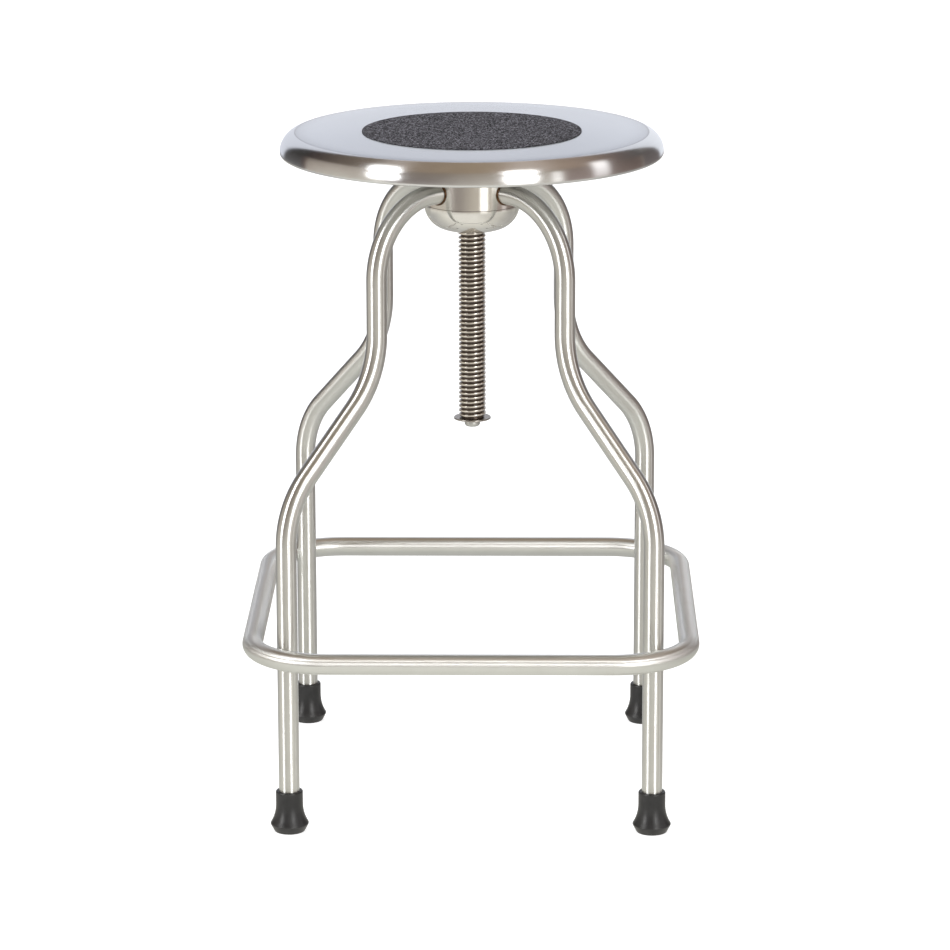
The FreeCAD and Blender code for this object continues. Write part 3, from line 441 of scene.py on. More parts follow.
# ---------------------------------------------------------------- mesh helpers
def piece(name, verts, faces, body, slot, replaced=(), crease=32.0, uvs=None, heat=None):
    """A mesh from points in millimetres, with its faces turned outwards, riding on a body."""
    mesh = bpy.data.meshes.new(name)
    mesh.from_pydata([(x * MM, y * MM, z * MM) for x, y, z in verts], [], faces)
    if uvs is not None:
        layer = mesh.uv_layers.new(name="along")
        k = 0
        for corner_uvs in uvs:
            for uv in corner_uvs:
                layer.data[k].uv = uv
                k += 1
    if heat is not None:
        attribute = mesh.attributes.new("heat", "FLOAT", "POINT")
        attribute.data.foreach_set("value", heat)
    bm = bmesh.new()
    bm.from_mesh(mesh)
    bmesh.ops.dissolve_degenerate(bm, dist=1e-7, edges=bm.edges)
    bmesh.ops.recalc_face_normals(bm, faces=bm.faces)
    bm.to_mesh(mesh)
    bm.free()
    for polygon in mesh.polygons:
        polygon.use_smooth = True
    mesh.set_sharp_from_angle(angle=math.radians(crease))
    mesh.materials.append(MATERIALS[slot])
    obj = bpy.data.objects.new(name, mesh)
    scene.collection.objects.link(obj)
    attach(obj, body)
    if replaced:
        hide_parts(*replaced)
    return obj


def rounded(corners, closed=False, step=7.5, hold=0.5):
    """A line of corners (x, y) or (x, y, radius), with each corner rounded by its radius. Points
    close to both ends of a straight run keep its shading flat."""
    count = len(corners)
    out = []
    for i, c in enumerate(corners):
        at = Vector((c[0], c[1]))
        radius = c[2] if len(c) > 2 else 0.0
        if radius <= 0.0 or (not closed and i in (0, count - 1)):
            out.append([at])
            continue
        a = (Vector(corners[i - 1][:2]) - at).normalized()
        b = (Vector(corners[(i + 1) % count][:2]) - at).normalized()
        opening = math.acos(max(-1.0, min(1.0, a.dot(b))))
        turn = math.pi - opening
        reach = radius * math.tan(turn / 2)
        start, end = at + a * reach, at + b * reach
        centre = at + (a + b).normalized() * (radius / math.sin(opening / 2))
        parts = max(2, math.ceil(math.degrees(turn) / step))
        first = start - centre
        sign = 1.0 if (first.x * (end - centre).y - first.y * (end - centre).x) > 0 else -1.0
        arc = []
        for k in range(parts + 1):
            t = sign * turn * k / parts
            arc.append(centre + Vector((first.x * math.cos(t) - first.y * math.sin(t), first.x * math.sin(t) + first.y * math.cos(t))))
        out.append(arc)
    line = []
    for i, group in enumerate(out):
        line.extend(group)
        if i + 1 < count or closed:
            a, b = group[-1], out[(i + 1) % count][0]
            length = (b - a).length
            if length > 4 * hold:
                line.append(a + (b - a) * (hold / length))
                line.append(b + (a - b) * (hold / length))
    clean = [line[0]]
    for q in line[1:]:
        if (q - clean[-1]).length > 1e-6:
            clean.append(q)
    if closed and (clean[0] - clean[-1]).length < 1e-6:
        clean.pop()
    return [(q.x, q.y) for q in clean]


def lathe(profile, count):
    """A closed profile of (radius, height) turned about Z: its points and faces."""
    verts, rings, faces = [], [], []
    for radius, z in profile:
        if radius < 1e-6:
            rings.append([len(verts)])
            verts.append((0.0, 0.0, z))
            continue
        ring = []
        for k in range(count):
            t = 2 * math.pi * k / count
            ring.append(len(verts))
            verts.append((radius * math.cos(t), radius * math.sin(t), z))
        rings.append(ring)
    for i, a in enumerate(rings):
        b = rings[(i + 1) % len(rings)]
        if len(a) == 1 and len(b) == 1:
            continue
        for k in range(count):
            n = (k + 1) % count
            if len(a) == 1:
                faces.append((a[0], b[k], b[n]))
            elif len(b) == 1:
                faces.append((a[k], a[n], b[0]))
            else:
                faces.append((a[k], a[n], b[n], b[k]))
    return verts, faces


def spine(corners, step=2.5, longest=9.0, closed=False):
    """Points, directions and lengths along a line of corners rounded by their radii."""
    count = len(corners)
    spans = []
    for i, c in enumerate(corners):
        at = Vector(c[:2])
        radius = c[2] if len(c) > 2 else 0.0
        if radius <= 0.0:
            spans.append((at, at, None, 0.0, 0.0))
            continue
        a = (Vector(corners[i - 1][:2]) - at).normalized()
        b = (Vector(corners[(i + 1) % count][:2]) - at).normalized()
        opening = math.acos(max(-1.0, min(1.0, a.dot(b))))
        turn = math.pi - opening
        reach = radius * math.tan(turn / 2)
        centre = at + (a + b).normalized() * (radius / math.sin(opening / 2))
        first, last = at + a * reach - centre, at + b * reach - centre
        sign = 1.0 if first.x * last.y - first.y * last.x > 0 else -1.0
        spans.append((at + a * reach, at + b * reach, centre, sign, turn))
    points = []
    for i, (start, end, centre, sign, turn) in enumerate(spans):
        if centre is not None:
            parts = max(2, math.ceil(math.degrees(turn) / step))
            first = start - centre
            for k in range(parts + 1):
                t = sign * turn * k / parts
                q = Vector((first.x * math.cos(t) - first.y * math.sin(t), first.x * math.sin(t) + first.y * math.cos(t)))
                points.append((centre + q, Vector((-q.y, q.x)).normalized() * sign))
        if i + 1 < count or closed:
            nxt = spans[(i + 1) % count][0]
            run = nxt - end
            parts = max(1, math.ceil(run.length / longest))
            way = run.normalized()
            lo = 0 if centre is None else 1
            hi = parts if (spans[(i + 1) % count][2] is not None) else parts + 1
            for k in range(lo, hi):
                points.append((end + run * (k / parts), way))
    out, s = [], 0.0
    for i, (q, way) in enumerate(points):
        if i:
            s += (q - points[i - 1][0]).length
        out.append((q, way, s))
    return out


# ---------------------------------------------------------------- seat
ROLL, ROLL_X, FLAT = 18.0, 159.8, 164.3
roll_z = 624.6 - math.sqrt(ROLL ** 2 - (FLAT - ROLL_X) ** 2)


def roll_line(radius, top, parts=30):
    """The rolled edge, from where it leaves the flat sheet down to the straight rim."""
    start = math.asin((top - roll_z) / radius)
    line = []
    for k in range(parts + 1):
        t = start * (1.0 - k / parts)
        line.append((ROLL_X + radius * math.cos(t), roll_z + radius * math.sin(t)))
    return line


outer, inner = roll_line(18.0, 624.6), roll_line(16.5, 623.1)
seat_profile = rounded(
    [(0.0, 624.6), (*outer[0], 1.6)]
    + outer[1:]
    + [
        (177.8, 603.8, 2.6),
        (167.5, 603.8, 0.5),
        (167.5, 605.3, 0.5),
        (176.3, 605.3, 1.1),
    ]
    + inner[:0:-1]
    + [(*inner[0], 1.2), (0.0, 623.1)],
    step=4.0,
)
verts, faces = lathe(seat_profile, 288)
piece("seat_pan_shell", verts, faces, "seat", "seat_steel", ["seat_pan"])

mat_profile = rounded(
    [(0.0, 625.6), (101.6, 625.6, 0.35), (101.6, 624.6), (0.0, 624.6)], step=15.0, hold=0.2
)
verts, faces = lathe(mat_profile, 256)
piece("seat_mat_disc", verts, faces, "seat", "mat_grit", ["seat_mat"])

# ---------------------------------------------------------------- lift screw
PITCH, MAJOR, DEPTH, CREST, FLANK = 4.2333333, 12.7, 2.35, 1.57, math.radians(14.5)
BOTTOM, TOP = 353.1, 591.6
groove_z = BOTTOM - 1.5 * PITCH
half_top = (PITCH - CREST) / 2
half_root = half_top - DEPTH * math.tan(FLANK)
# one turn's section, upwards from the middle of the groove: flat root, flank, rounded crest, flank
section = rounded(
    [
        (0.0, MAJOR - DEPTH),
        (half_root, MAJOR - DEPTH, 0.28),
        (half_top, MAJOR, 0.22),
        (PITCH - half_top, MAJOR, 0.22),
        (PITCH - half_root, MAJOR - DEPTH, 0.28),
        (PITCH, MAJOR - DEPTH),
    ],
    step=30.0,
    hold=9.0,
)[:-1]
SIDES = 72
turns = int((TOP - groove_z) / PITCH) + 3
steps = turns * SIDES
verts, faces = [], []
rows = len(section)


def thread_point(i, j):
    offset, radius = section[j]
    t = 2 * math.pi * i / SIDES
    z = groove_z - PITCH + PITCH * i / SIDES + offset
    if z < BOTTOM + 2.0:
        radius = min(radius, MAJOR - 2.0 + max(z - BOTTOM, 0.0))
    z = min(max(z, BOTTOM), TOP)
    return (radius * math.cos(t), radius * math.sin(t), z)


for i in range(steps + 1):
    for j in range(rows):
        verts.append(thread_point(i, j))
for i in range(steps):
    for j in range(rows):
        a, b = i * rows + j, (i + 1) * rows + j
        if j + 1 < rows:
            c, e = b + 1, a + 1
        else:
            if i + 1 + SIDES > steps:
                continue
            c, e = (i + 1 + SIDES) * rows, (i + SIDES) * rows
        zs = [verts[k][2] for k in (a, b, c, e)]
        if max(zs) <= BOTTOM + 1e-6 or min(zs) >= TOP - 1e-6:
            continue
        faces.append((a, b, c, e))
used = sorted({k for f in faces for k in f})
index = {k: n for n, k in enumerate(used)}
verts = [verts[k] for k in used]
faces = [tuple(index[k] for k in f) for f in faces]


def close_end(z, small, along, point):
    """The flat end of the screw, from the ragged edge of the thread in to a smaller circle, and
    from that circle along the axis to a flat or pointed end."""
    edges = {}
    for f in faces:
        for a, b in zip(f, f[1:] + f[:1]):
            edges[(a, b)] = edges.get((a, b), 0) + 1
    rim = [e for e in edges if (e[1], e[0]) not in edges and all(abs(verts[k][2] - z) < 1e-6 for k in e)]
    base = len(verts)
    for h in (z, z + along):
        for k in range(SIDES):
            t = 2 * math.pi * k / SIDES
            verts.append((small * math.cos(t), small * math.sin(t), h))
    tip = len(verts)
    verts.append((0.0, 0.0, z + along + point))

    def spoke(k):
        return round(math.atan2(verts[k][1], verts[k][0]) / (2 * math.pi) * SIDES) % SIDES

    for a, b in rim:
        p, q = spoke(a), spoke(b)
        faces.append((b, a, base + p) if p == q else (b, a, base + p, base + q))
    for k in range(SIDES):
        n = (k + 1) % SIDES
        faces.append((base + k, base + n, base + SIDES + n, base + SIDES + k))
        faces.append((base + SIDES + k, base + SIDES + n, tip))


close_end(BOTTOM, 4.06, 26.0, 2.4)
close_end(TOP, 9.525, 10.35, 0.0)
piece("lift_screw_thread", verts, faces, "seat", "screw_steel", ["lift_screw"], crease=40.0)

# ---------------------------------------------------------------- lower stop
washer_profile = rounded(
    [(6.2, 351.3, 0.2), (17.4, 351.3, 0.3), (17.4, 352.8, 0.45), (6.2, 352.8, 0.2)],
    closed=True, step=18.0, hold=0.2,
)
verts, faces = lathe(washer_profile, 128)
piece("stop_washer_disc", verts, faces, "stop_washer", "washer_steel", ["stop_washer"])

# ---------------------------------------------------------------- hub and cap
hub_profile = rounded(
    [
        (22.3, 551.8, 0.3),
        (42.2, 551.8, 0.5),
        (42.2, 556.8, 0.2),
        (44.45, 556.8, 0.35),
        (44.45, 588.8, 1.2),
        (34.3, 588.8, 0.3),
        (34.3, 582.8, 0.2),
        (22.3, 582.8, 0.3),
    ],
    closed=True, step=12.0,
)
verts, faces = lathe(hub_profile, 192)
piece("hub_collar", verts, faces, "frame", "hub_steel", ["hub_body"])

CAP_R, CAP_K, CAP_D, CAP_W, CAP_H, CAP_Z = 44.45, 24.0, 27.2, 1.5, 13.6, 556.8
crown = (CAP_R * CAP_R + CAP_D * CAP_D - 2 * CAP_R * CAP_K) / (2 * (CAP_D - CAP_K))
crown_z = CAP_Z - CAP_D + crown
side_x = CAP_R - CAP_K


def cap_skin(inset):
    """From the rim to the hole: the side bend, then the crown."""
    line = []
    lean = math.atan2(side_x, crown_z - CAP_Z)
    for k in range(25):
        t = (math.pi / 2 - lean) * k / 24
        line.append((side_x + (CAP_K - inset) * math.cos(t), CAP_Z - (CAP_K - inset) * math.sin(t)))
    big = crown - inset
    end = math.asin(CAP_H / big)
    for k in range(1, 13):
        t = lean + (end - lean) * k / 12
        line.append((big * math.sin(t), crown_z - big * math.cos(t)))
    return line


cap_profile = cap_skin(0.0) + cap_skin(CAP_W)[::-1]
verts, faces = lathe(cap_profile, 192)
piece("hub_cap_dome", verts, faces, "frame", "polished_steel", ["hub_dome_cap"])

# ---------------------------------------------------------------- tubes
TUBE, WALL = 9.525, 1.65


def tube_skin(path, radius, sides, turn_point, closed=False):
    """Rings of points along a path; turn_point(q, way, angle, radius) gives a point of a ring."""
    rings = []
    for q, way, s in path:
        rings.append([turn_point(q, way, 2 * math.pi * k / sides, radius) for k in range(sides)])
    return rings


def leg(place, angle, number):
    slope = math.radians(47.5)
    corner_z = 411.9 - (FOOT - 121.65) / math.tan(slope)
    path = spine(
        [
            (44.47, 571.34),
            (121.65, 571.34, 70.64),
            (121.65, 411.9, 89.38),
            (FOOT, corner_z, 81.4),
            (FOOT, 8.0),
        ]
    )
    sides = 56

    def point(q, way, t, radius):
        # t = 0 is on the inner side of the leg, where the seam of the map is hidden
        n = Vector((-way.y, way.x))
        return (q.x - n.x * radius * math.cos(t), radius * math.sin(t), q.y - n.y * radius * math.cos(t))

    verts, faces, uvs, heat = [], [], [], []
    skins = []
    for radius in (TUBE, TUBE - WALL):
        rings = tube_skin(path, radius, sides, point)
        start = len(verts)
        for i, ring in enumerate(rings):
            for x, y, z in ring:
                if i == 0:
                    x = math.sqrt(44.47 ** 2 - y * y)
                verts.append((x, y, z))
                s = path[i][2]
                near_hub = max(0.0, 1.0 - s / 6.0)
                near_rail = max(0.0, 1.0 - math.hypot(z - 170.3, 1.3 * y) / 13.0) if x > FOOT else 0.0
                heat.append(max(near_hub * 0.6, near_rail * 0.7))
        skins.append(start)
        for i in range(len(rings) - 1):
            for k in range(sides):
                n = (k + 1) % sides
                faces.append((start + i * sides + k, start + (i + 1) * sides + k, start + (i + 1) * sides + n, start + i * sides + n))
                u0, u1 = path[i][2] * MM + number * 3.7, path[i + 1][2] * MM + number * 3.7
                v0, v1 = k / sides * 0.06, (k + 1) / sides * 0.06
                uvs.append([(u0, v0), (u1, v0), (u1, v1), (u0, v1)])
    last = len(path) - 1
    for i in (0, last):
        for k in range(sides):
            n = (k + 1) % sides
            o, q = skins[0] + i * sides, skins[1] + i * sides
            faces.append((o + k, o + n, q + n, q + k))
            uvs.append([(number * 3.7, 0.0), (number * 3.7, 0.001), (number * 3.7 + 0.001, 0.001), (number * 3.7 + 0.001, 0.0)])
    turn = math.radians(angle)
    c, s = math.cos(turn), math.sin(turn)
    verts = [(x * c - y * s, x * s + y * c, z) for x, y, z in verts]
    return piece("leg_tube_" + place, verts, faces, "frame", "tube_steel", ["leg_" + place], uvs=uvs, heat=heat)


for number, (place, angle) in enumerate(CORNERS):
    leg(place, angle, number)

# foot rail: a rounded square outside the legs
RAIL_Z, RAIL_HALF = 170.3, 201.2
RAIL_BEND = (RAIL_HALF * math.sqrt(2.0) - (FOOT + 2 * TUBE + 0.05)) / (math.sqrt(2.0) - 1.0)
path = spine(
    [
        (RAIL_HALF, -RAIL_HALF, RAIL_BEND),
        (RAIL_HALF, RAIL_HALF, RAIL_BEND),
        (-RAIL_HALF, RAIL_HALF, RAIL_BEND),
        (-RAIL_HALF, -RAIL_HALF, RAIL_BEND),
    ],
    closed=True,
)
sides = 56
verts, faces, uvs, heat = [], [], [], []
for q, way, s in path:
    n = Vector((way.y, -way.x))
    for k in range(sides):
        t = 2 * math.pi * k / sides - math.pi / 2
        verts.append((q.x + n.x * TUBE * math.cos(t), q.y + n.y * TUBE * math.cos(t), RAIL_Z + TUBE * math.sin(t)))
        x, y, z = verts[-1]
        off = math.hypot(abs(x) - (FOOT + TUBE) / math.sqrt(2.0), abs(y) - (FOOT + TUBE) / math.sqrt(2.0))
        heat.append(0.8 * max(0.0, 1.0 - math.hypot(off, z - RAIL_Z) / 13.0))
length = path[-1][2] + (path[0][0] - path[-1][0]).length
for i in range(len(path)):
    j = (i + 1) % len(path)
    u0, u1 = path[i][2] * MM + 20.0, (path[j][2] if j else length) * MM + 20.0
    for k in range(sides):
        n = (k + 1) % sides
        faces.append((i * sides + k, j * sides + k, j * sides + n, i * sides + n))
        v0, v1 = k / sides * 0.06, (k + 1) / sides * 0.06
        uvs.append([(u0, v0), (u1, v0), (u1, v1), (u0, v1)])
piece("foot_rail_tube", verts, faces, "frame", "tube_steel", ["footrest_ring"], uvs=uvs, heat=heat)


# ---------------------------------------------------------------- welds
def bead(verts, faces, centres, firsts, seconds, radii, around=14):
    """A closed rope of weld metal along a loop of centres; firsts and seconds span its section."""
    base, count = len(verts), len(centres)
    for c, a, b, r in zip(centres, firsts, seconds, radii):
        for k in range(around):
            t = 2 * math.pi * k / around
            q = c + (a * math.cos(t) + b * math.sin(t)) * r
            verts.append((q.x, q.y, q.z))
    for i in range(count):
        j = (i + 1) % count
        for k in range(around):
            n = (k + 1) % around
            faces.append((base + i * around + k, base + j * around + k, base + j * around + n, base + i * around + n))


verts, faces = [], []
for number, (place, angle) in enumerate(CORNERS):
    spin = Matrix.Rotation(math.radians(angle), 3, "Z")
    centres, firsts, seconds, radii = [], [], [], []
    count = 180
    for i in range(count):
        t = 2 * math.pi * i / count
        y, dz = TUBE * math.sin(t), TUBE * math.cos(t)
        x = math.sqrt(44.45 ** 2 - y * y)
        out_tube, out_hub = Vector((0, math.sin(t), math.cos(t))), Vector((x / 44.45, y / 44.45, 0.0))
        ripple = 0.07 * math.sin(62 * t + 0.6 * math.sin(5 * t + number)) + 0.06 * math.sin(3 * t + 1.7 * number)
        r = 1.0 * (1.0 + ripple)
        c = Vector((x, y, 571.34 + dz)) + (out_tube + out_hub) * 0.35
        b = (out_hub - out_tube * out_hub.dot(out_tube)).normalized()
        centres.append(spin @ c)
        firsts.append(spin @ out_tube)
        seconds.append(spin @ b)
        radii.append(r)
    bead(verts, faces, centres, firsts, seconds, radii)
piece("leg_hub_weld_beads", verts, faces, "frame", "weld_steel", ["leg_hub_welds"], crease=80.0)

verts, faces = [], []
touch = FOOT + TUBE
bend_centre = (RAIL_HALF - RAIL_BEND) * math.sqrt(2.0)
for number, (place, angle) in enumerate(CORNERS):
    spin = Matrix.Rotation(math.radians(angle), 3, "Z")
    centres, firsts, seconds, radii = [], [], [], []
    count = 120
    for i in range(count):
        t = 2 * math.pi * i / count
        reach = 5.2 + 0.25 * math.sin(3 * t + number) + 0.15 * math.sin(7 * t + 2 * number)
        y, dz = reach * 0.95 * math.cos(t), reach * math.sin(t)
        on_leg = FOOT + math.sqrt(TUBE ** 2 - y * y)
        hollow = RAIL_BEND - math.sqrt(TUBE ** 2 - dz * dz)
        on_rail = bend_centre + math.sqrt(hollow * hollow - y * y)
        gap = max(on_rail - on_leg, 0.2)
        ripple = 1.0 + 0.06 * math.sin(40 * t + 0.8 * math.sin(3 * t))
        c = Vector(((on_leg + on_rail) / 2, y, RAIL_Z + dz))
        centres.append(spin @ c)
        firsts.append(spin @ Vector((1, 0, 0)))
        seconds.append(spin @ Vector((0, math.cos(t), math.sin(t))))
        radii.append((0.62 * gap + 0.35) * ripple)
    bead(verts, faces, centres, firsts, seconds, radii)
piece("foot_rail_weld_beads", verts, faces, "frame", "weld_steel", ["footrest_welds"], crease=80.0)

# ---------------------------------------------------------------- feet
flare = []
ax, az, bx, bz, big = 17.45, 7.9, 12.5, 26.0, 35.57
mx, mz = (ax + bx) / 2, (az + bz) / 2
half = math.hypot(bx - ax, bz - az) / 2
rise = math.sqrt(big * big - half * half)
ux, uz = (bx - ax) / (2 * half), (bz - az) / (2 * half)
cx, cz = mx + uz * rise, mz - ux * rise
t0, t1 = math.atan2(az - cz, ax - cx), math.atan2(bz - cz, bx - cx)
if t0 < 0:
    t0 += 2 * math.pi
if t1 < 0:
    t1 += 2 * math.pi
for k in range(13):
    t = t0 + (t1 - t0) * k / 12
    flare.append((cx + big * math.cos(t), cz + big * math.sin(t)))
sole = rounded([(0.0, 0.0), (13.9, 0.0, 0.7), (14.4, 0.8, 0.7), (17.65, 7.2, 0.5), (17.45, 7.9, 0.4), flare[2]], step=12.0, hold=0.3)[:-1]
neck = rounded([flare[-2], (12.5, 26.0), (12.5, 39.0, 1.5), (9.6, 39.0, 0.5), (9.6, 6.4, 0.3), (0.0, 6.4)], step=12.0, hold=0.3)[1:]
tip_profile = sole + flare[2:-1] + neck
for number, (place, angle) in enumerate(CORNERS):
    verts, faces = lathe(tip_profile, 112)
    turn = math.radians(angle)
    obj = piece("foot_tip_rubber_" + place, verts, faces, "frame", "tip_rubber", ["foot_tip_" + place], crease=40.0)
    obj.matrix_world = Matrix.Translation((FOOT * MM * math.cos(turn), FOOT * MM * math.sin(turn), 0.0)) @ Matrix.Rotation(turn + 1.1 * number, 4, "Z")
    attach(obj, "frame")

# ---------------------------------------------------------------- what the frame already holds
slots = {s["node"]: s["material_slot"] for s in frame["record"]["subparts"]}
for name, obj in nodes.items():
    if obj.hide_render:
        continue
    obj.data.materials.clear()
    obj.data.materials.append(MATERIALS[slots[name]])

# ---------------------------------------------------------------- floor and studio
def card(name, half, z):
    """A flat square of the stage."""
    mesh = bpy.data.meshes.new(name)
    mesh.from_pydata([(-half, -half, z), (half, -half, z), (half, half, z), (-half, half, z)], [], [(0, 1, 2, 3)])
    obj = bpy.data.objects.new(name, mesh)
    scene.collection.objects.link(obj)
    return obj


floor = card("floor", 20.0, 0.0)
mat = bpy.data.materials.new("floor_pale")
mat.use_nodes = True
tree = mat.node_tree
tree.nodes.clear()
out = tree.nodes.new("ShaderNodeOutputMaterial")
total = tree.nodes.new("ShaderNodeAddShader")
glow = tree.nodes.new("ShaderNodeEmission")
glow.inputs["Color"].default_value = (1.0, 1.0, 1.0, 1.0)
glow.inputs["Strength"].default_value = 0.72
matte = tree.nodes.new("ShaderNodeBsdfDiffuse")
matte.inputs["Color"].default_value = (0.5, 0.5, 0.5, 1.0)
tree.links.new(glow.outputs[0], total.inputs[0])
tree.links.new(matte.outputs[0], total.inputs[1])
# seen from below, it is clear
one_way = tree.nodes.new("ShaderNodeMixShader")
tree.links.new(tree.nodes.new("ShaderNodeNewGeometry").outputs["Backfacing"], one_way.inputs[0])
tree.links.new(total.outputs[0], one_way.inputs[1])
tree.links.new(tree.nodes.new("ShaderNodeBsdfTransparent").outputs[0], one_way.inputs[2])
tree.links.new(one_way.outputs[0], out.inputs[0])
floor.data.materials.append(mat)
floor.visible_glossy = False

# what the polished steel sees below it: a lit table that fades out some way from the stool
sweep = card("sweep", 2.2, -0.004)
p = Paint("sweep_light")
p.tree.nodes.remove(p.bsdf)
x, y, z = p.split(p.object_xyz())
far = p.math("SQRT", p.math("ADD", p.math("MULTIPLY", x, x), p.math("MULTIPLY", y, y)))
# the glowing table is painted darker behind the stool and to its right, as shade
lit = p.ramp(
    p.span(y, -1.0, 0.6, 0.0, 1.0),
    [(0.05, (0.89, 0.865, 0.80)), (0.42, (0.86, 0.84, 0.765)), (0.55, (0.76, 0.745, 0.675)), (0.72, (0.60, 0.59, 0.55)), (0.95, (0.48, 0.475, 0.455))],
)
lit = p.mix(p.span(x, 0.1, 0.7, 0.0, 0.35, True), lit, (0.42, 0.39, 0.36))
glow = p.tree.nodes.new("ShaderNodeEmission")
p.feed(glow.inputs["Color"], lit)
fade = p.tree.nodes.new("ShaderNodeMixShader")
p.feed(fade.inputs[0], p.span(far, 0.9, 1.9, 1.0, 0.0, True))
p.tree.links.new(p.tree.nodes.new("ShaderNodeBsdfTransparent").outputs[0], fade.inputs[1])
p.tree.links.new(glow.outputs[0], fade.inputs[2])
p.tree.links.new(fade.outputs[0], p.out.inputs[0])
sweep.data.materials.append(p.mat)
sweep.visible_camera = False
sweep.visible_diffuse = False
sweep.visible_shadow = False
sweep.visible_transmission = False

# the room: white to the camera, even and soft for matt surfaces, and a studio with soft boxes in reflections
world = bpy.data.worlds.new("studio")
scene.world = world
world.use_nodes = True
w = Paint.__new__(Paint)
w.tree = world.node_tree
w.tree.nodes.clear()
w.out = w.tree.nodes.new("ShaderNodeOutputWorld")
x, y, z = w.split(w.add("ShaderNodeTexCoord", out="Generated"))
deg = 180.0 / math.pi
# A place in the room is given by the face of the steel that shows it to someone at `front`: lean is
# the slope of that face, 0 for an upright one and 90 for one that looks up, and bearing is twice its
# turn from the front, which for upright faces is the place's own bearing.
front = Vector((0.0142, -0.9847, 0.1735))
x, y, z = (w.math("ADD", value, part) for value, part in zip((x, y, z), front))
level = w.math("SQRT", w.math("ADD", w.math("MULTIPLY", x, x), w.math("MULTIPLY", y, y)))
lean = w.math("MULTIPLY", w.math("ARCTAN2", z, level), deg)
bearing = w.math("MULTIPLY", w.math("ARCTAN2", x, w.math("MULTIPLY", y, -1.0)), 2.0 * deg)


def window(first, last, low=-90.0, high=90.0, soft=2.0, soft_up=3.0):
    """One inside a window of bearings and leans, in degrees, nought outside it."""
    middle, half = (first + last) / 2, (last - first) / 2
    off = w.math("ABSOLUTE", w.math("SUBTRACT", bearing, middle))
    share = w.span(off, half + soft, half - soft, 0.0, 1.0, True)
    if low > -90.0:
        share = w.math("MULTIPLY", share, w.span(lean, low - soft_up, low + soft_up, 0.0, 1.0, True))
    if high < 90.0:
        share = w.math("MULTIPLY", share, w.span(lean, high - soft_up, high + soft_up, 1.0, 0.0, True))
    return share


def upright(stops):
    """A colour for each lean, from (degrees, colour) pairs."""
    return w.ramp(w.span(lean, -60.0, 90.0, 0.0, 1.0), [((h + 60.0) / 150.0, colour) for h, colour in stops])


FLOOR = [(-50.0, (0.70, 0.685, 0.62)), (-22.0, (0.84, 0.82, 0.75)), (-4.5, (0.93, 0.905, 0.83))]


def dim(share):
    """The table, in a part of the room that gets only a share of the light."""
    return [(h, tuple(share * c for c in colour)) for h, colour in FLOOR]


# walls, left to right, under a brown ceiling
wall = w.mix(
    w.span(bearing, -32.0, 12.0, 0.0, 1.0, True),
    upright(FLOOR + [(-2.0, (0.33, 0.29, 0.265)), (10.0, (0.26, 0.225, 0.20)), (32.0, (0.25, 0.205, 0.165))]),
    upright(FLOOR + [(-2.0, (0.62, 0.575, 0.50)), (10.0, (0.54, 0.49, 0.425)), (32.0, (0.40, 0.34, 0.27))]),
)
left_wall = w.mix(
    w.span(bearing, -120.0, -88.0, 0.0, 1.0, True),
    upright(dim(0.8) + [(-2.0, (0.54, 0.475, 0.415)), (20.0, (0.42, 0.365, 0.31)), (30.0, (0.22, 0.185, 0.155))]),
    upright(dim(0.95) + [(-2.0, (0.66, 0.615, 0.535)), (14.0, (0.57, 0.51, 0.44)), (30.0, (0.45, 0.395, 0.335))]),
)
right_wall = w.mix(
    w.span(bearing, 72.0, 116.0, 0.0, 1.0, True),
    upright(dim(0.85) + [(-2.0, (0.37, 0.295, 0.265)), (30.0, (0.30, 0.235, 0.20))]),
    upright(dim(0.55) + [(-2.0, (0.22, 0.165, 0.145)), (30.0, (0.165, 0.13, 0.115))]),
)
wall = w.mix(window(-119.0, -52.0), wall, left_wall)
wall = w.mix(window(58.0, 127.0, soft=4.0), wall, right_wall)
ceiling = w.ramp(
    w.span(bearing, -130.0, 130.0, 0.0, 1.0),
    [(0.06, (0.055, 0.042, 0.040)), (0.23, (0.20, 0.16, 0.125)), (0.36, (0.32, 0.25, 0.185)), (0.52, (0.405, 0.315, 0.222)), (0.76, (0.385, 0.293, 0.229)), (0.90, (0.18, 0.14, 0.128)), (0.98, (0.13, 0.12, 0.115))],
)
room = w.mix(w.span(lean, 28.5, 34.5, 0.0, 1.0, True), wall, ceiling)
uneven = w.noise(w.join(w.math("MULTIPLY", bearing, 0.17), w.math("MULTIPLY", lean, 0.035), 0.0), 1.0, 3.0, 0.6)
room = w.mix(w.span(uneven, 0.25, 0.75, 0.45, 0.0), room, w.mix(1.0, room, (0.62, 0.60, 0.58), "MULTIPLY"))
# dark gaps to both sides of the pale wall behind the stool
room = w.mix(window(-175.0, -118.0), room, upright(dim(0.55) + [(-2.0, (0.165, 0.16, 0.16)), (12.0, (0.105, 0.10, 0.098)), (32.0, (0.048, 0.045, 0.043))]))
room = w.mix(window(127.0, 175.0), room, upright(dim(0.45) + [(-2.0, (0.18, 0.155, 0.15)), (34.0, (0.125, 0.11, 0.105)), (46.0, (0.20, 0.185, 0.175))]))
room = w.mix(w.math("MULTIPLY", window(-121.0, -116.0, -1.0, 31.0, soft=1.5), 0.8), room, (0.10, 0.068, 0.062))
edge = w.math(
    "ADD",
    w.math("POWER", w.math("DIVIDE", w.math("ABSOLUTE", w.math("SUBTRACT", bearing, 2.0)), 154.0), 2.7),
    w.math("POWER", w.math("DIVIDE", w.math("MAXIMUM", lean, 0.0), 75.5), 2.7),
)
behind = w.math("MULTIPLY", w.span(edge, 0.95, 1.06, 0.0, 1.0, True), w.span(lean, -2.0, 5.0, 0.0, 1.0, True))
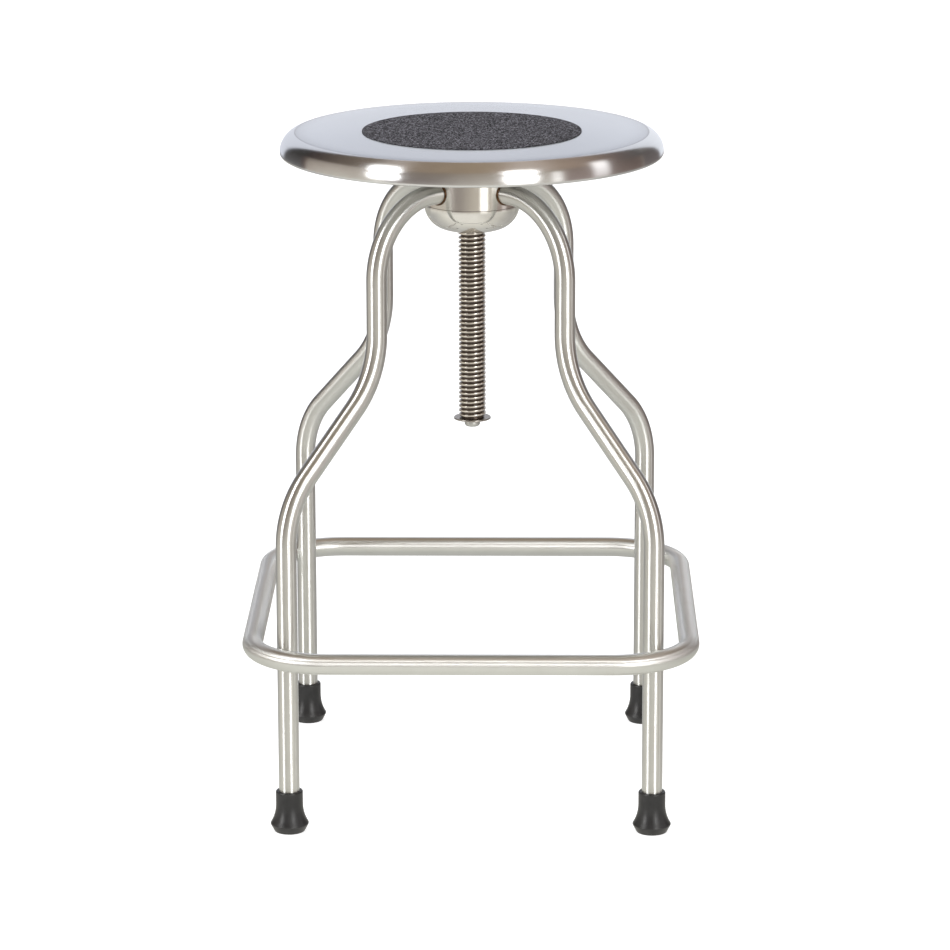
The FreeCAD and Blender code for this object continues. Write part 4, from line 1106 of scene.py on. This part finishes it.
pale = w.ramp(
    w.span(bearing, -180.0, 180.0, 0.0, 1.0),
    [(0.20, (0.76, 0.785, 0.86)), (0.45, (0.70, 0.72, 0.785)), (0.72, (0.64, 0.655, 0.715)), (0.86, (0.80, 0.825, 0.885)), (0.95, (0.90, 0.93, 0.99))],
)
# the flat of the seat shows the line where that wall meets the table, darker below and lighter above
tilt = w.math("DIVIDE", w.math("MULTIPLY", y, -1.0), w.math("MAXIMUM", z, 0.05))
flat = w.mix(w.span(tilt, -0.045, 0.045, 0.0, 1.0), (0.205, 0.222, 0.285), (0.765, 0.765, 0.81))
room = w.mix(behind, room, w.mix(w.span(lean, 78.0, 86.0, 0.0, 1.0, True), pale, flat))
# soft boxes, brightest a little above the stool
def bank(low):
    """How bright a soft box is at each lean, with a dim bar across it a third of the way up."""
    stops = low + [(12.0, 0.9), (19.0, 0.9), (20.5, 0.2), (26.0, 0.2), (27.5, 1.0), (34.0, 1.0), (38.0, 0.5), (48.0, 0.3)]
    tone = w.ramp(w.span(lean, -20.0, 80.0, 0.0, 1.0), [((height + 20.0) / 100.0, (share, share, share)) for height, share in stops])
    return w.math("MULTIPLY", tone, 7.6)


lights = w.math(
    "ADD",
    w.math("MULTIPLY", bank([(-20.0, 0.0), (0.0, 0.0), (3.0, 0.05), (7.0, 0.38)]), window(-61.5, -43.5, high=44.0, soft=3.0, soft_up=9.0)),
    w.math("MULTIPLY", bank([(-20.0, 0.0), (-6.0, 0.02), (-3.0, 0.04), (-1.5, 0.15), (3.0, 0.40), (8.0, 0.68)]), window(22.5, 39.5, high=34.0, soft=3.0, soft_up=5.0)),
)
lights = w.math("ADD", lights, w.math("MULTIPLY", window(50.5, 57.0, low=-2.0, high=26.0, soft=1.2, soft_up=3.0), 0.8))
lights = w.math("ADD", lights, w.math("MULTIPLY", window(79.5, 92.0, low=-2.0, high=42.0, soft=3.0, soft_up=6.0), w.span(lean, 0.0, 30.0, 0.6, 1.15)))
# the light that the boxes throw on the ceiling
spill = w.math("ADD", w.math("MULTIPLY", window(24.0, 50.0, 34.0, 90.0, soft=12.0, soft_up=4.0), 0.20), w.math("MULTIPLY", window(-58.0, -38.0, 44.0, 90.0, soft=8.0, soft_up=6.0), 0.20))
lights = w.math("ADD", lights, spill)
seen = w.mix(1.0, room, w.add("ShaderNodeCombineColor", Red=lights, Green=lights, Blue=lights), "ADD")
kind = w.tree.nodes.new("ShaderNodeLightPath")
seen = w.mix(kind.outputs["Is Diffuse Ray"], seen, (0.95, 0.95, 0.96))
seen = w.mix(kind.outputs["Is Camera Ray"], seen, (1.0, 1.0, 1.0))
back = w.tree.nodes.new("ShaderNodeBackground")
w.feed(back.inputs["Color"], seen)
w.tree.links.new(back.outputs[0], w.out.inputs[0])


def panel(name, place, aim, width, depth, power):
    """A soft light that only matt surfaces answer to."""
    data = bpy.data.lights.new(name, "AREA")
    data.shape = "RECTANGLE"
    data.size, data.size_y = width, depth
    data.energy = power
    obj = bpy.data.objects.new(name, data)
    obj.location = place
    obj.rotation_euler = (Vector(aim) - Vector(place)).to_track_quat("-Z", "Y").to_euler()
    obj.visible_glossy = False
    scene.collection.objects.link(obj)
    return obj


panel("light_above", (-0.5, -0.6, 2.6), (0, 0, 0.4), 2.2, 2.2, 22.0)
panel("light_left", (-2.2, -1.2, 0.9), (0, 0, 0.2), 1.0, 1.4, 7.0)

scene.view_settings.view_transform = "Standard"
scene.view_settings.look = "None"
scene.view_settings.exposure = 0.0
scene.view_settings.gamma = 1.0
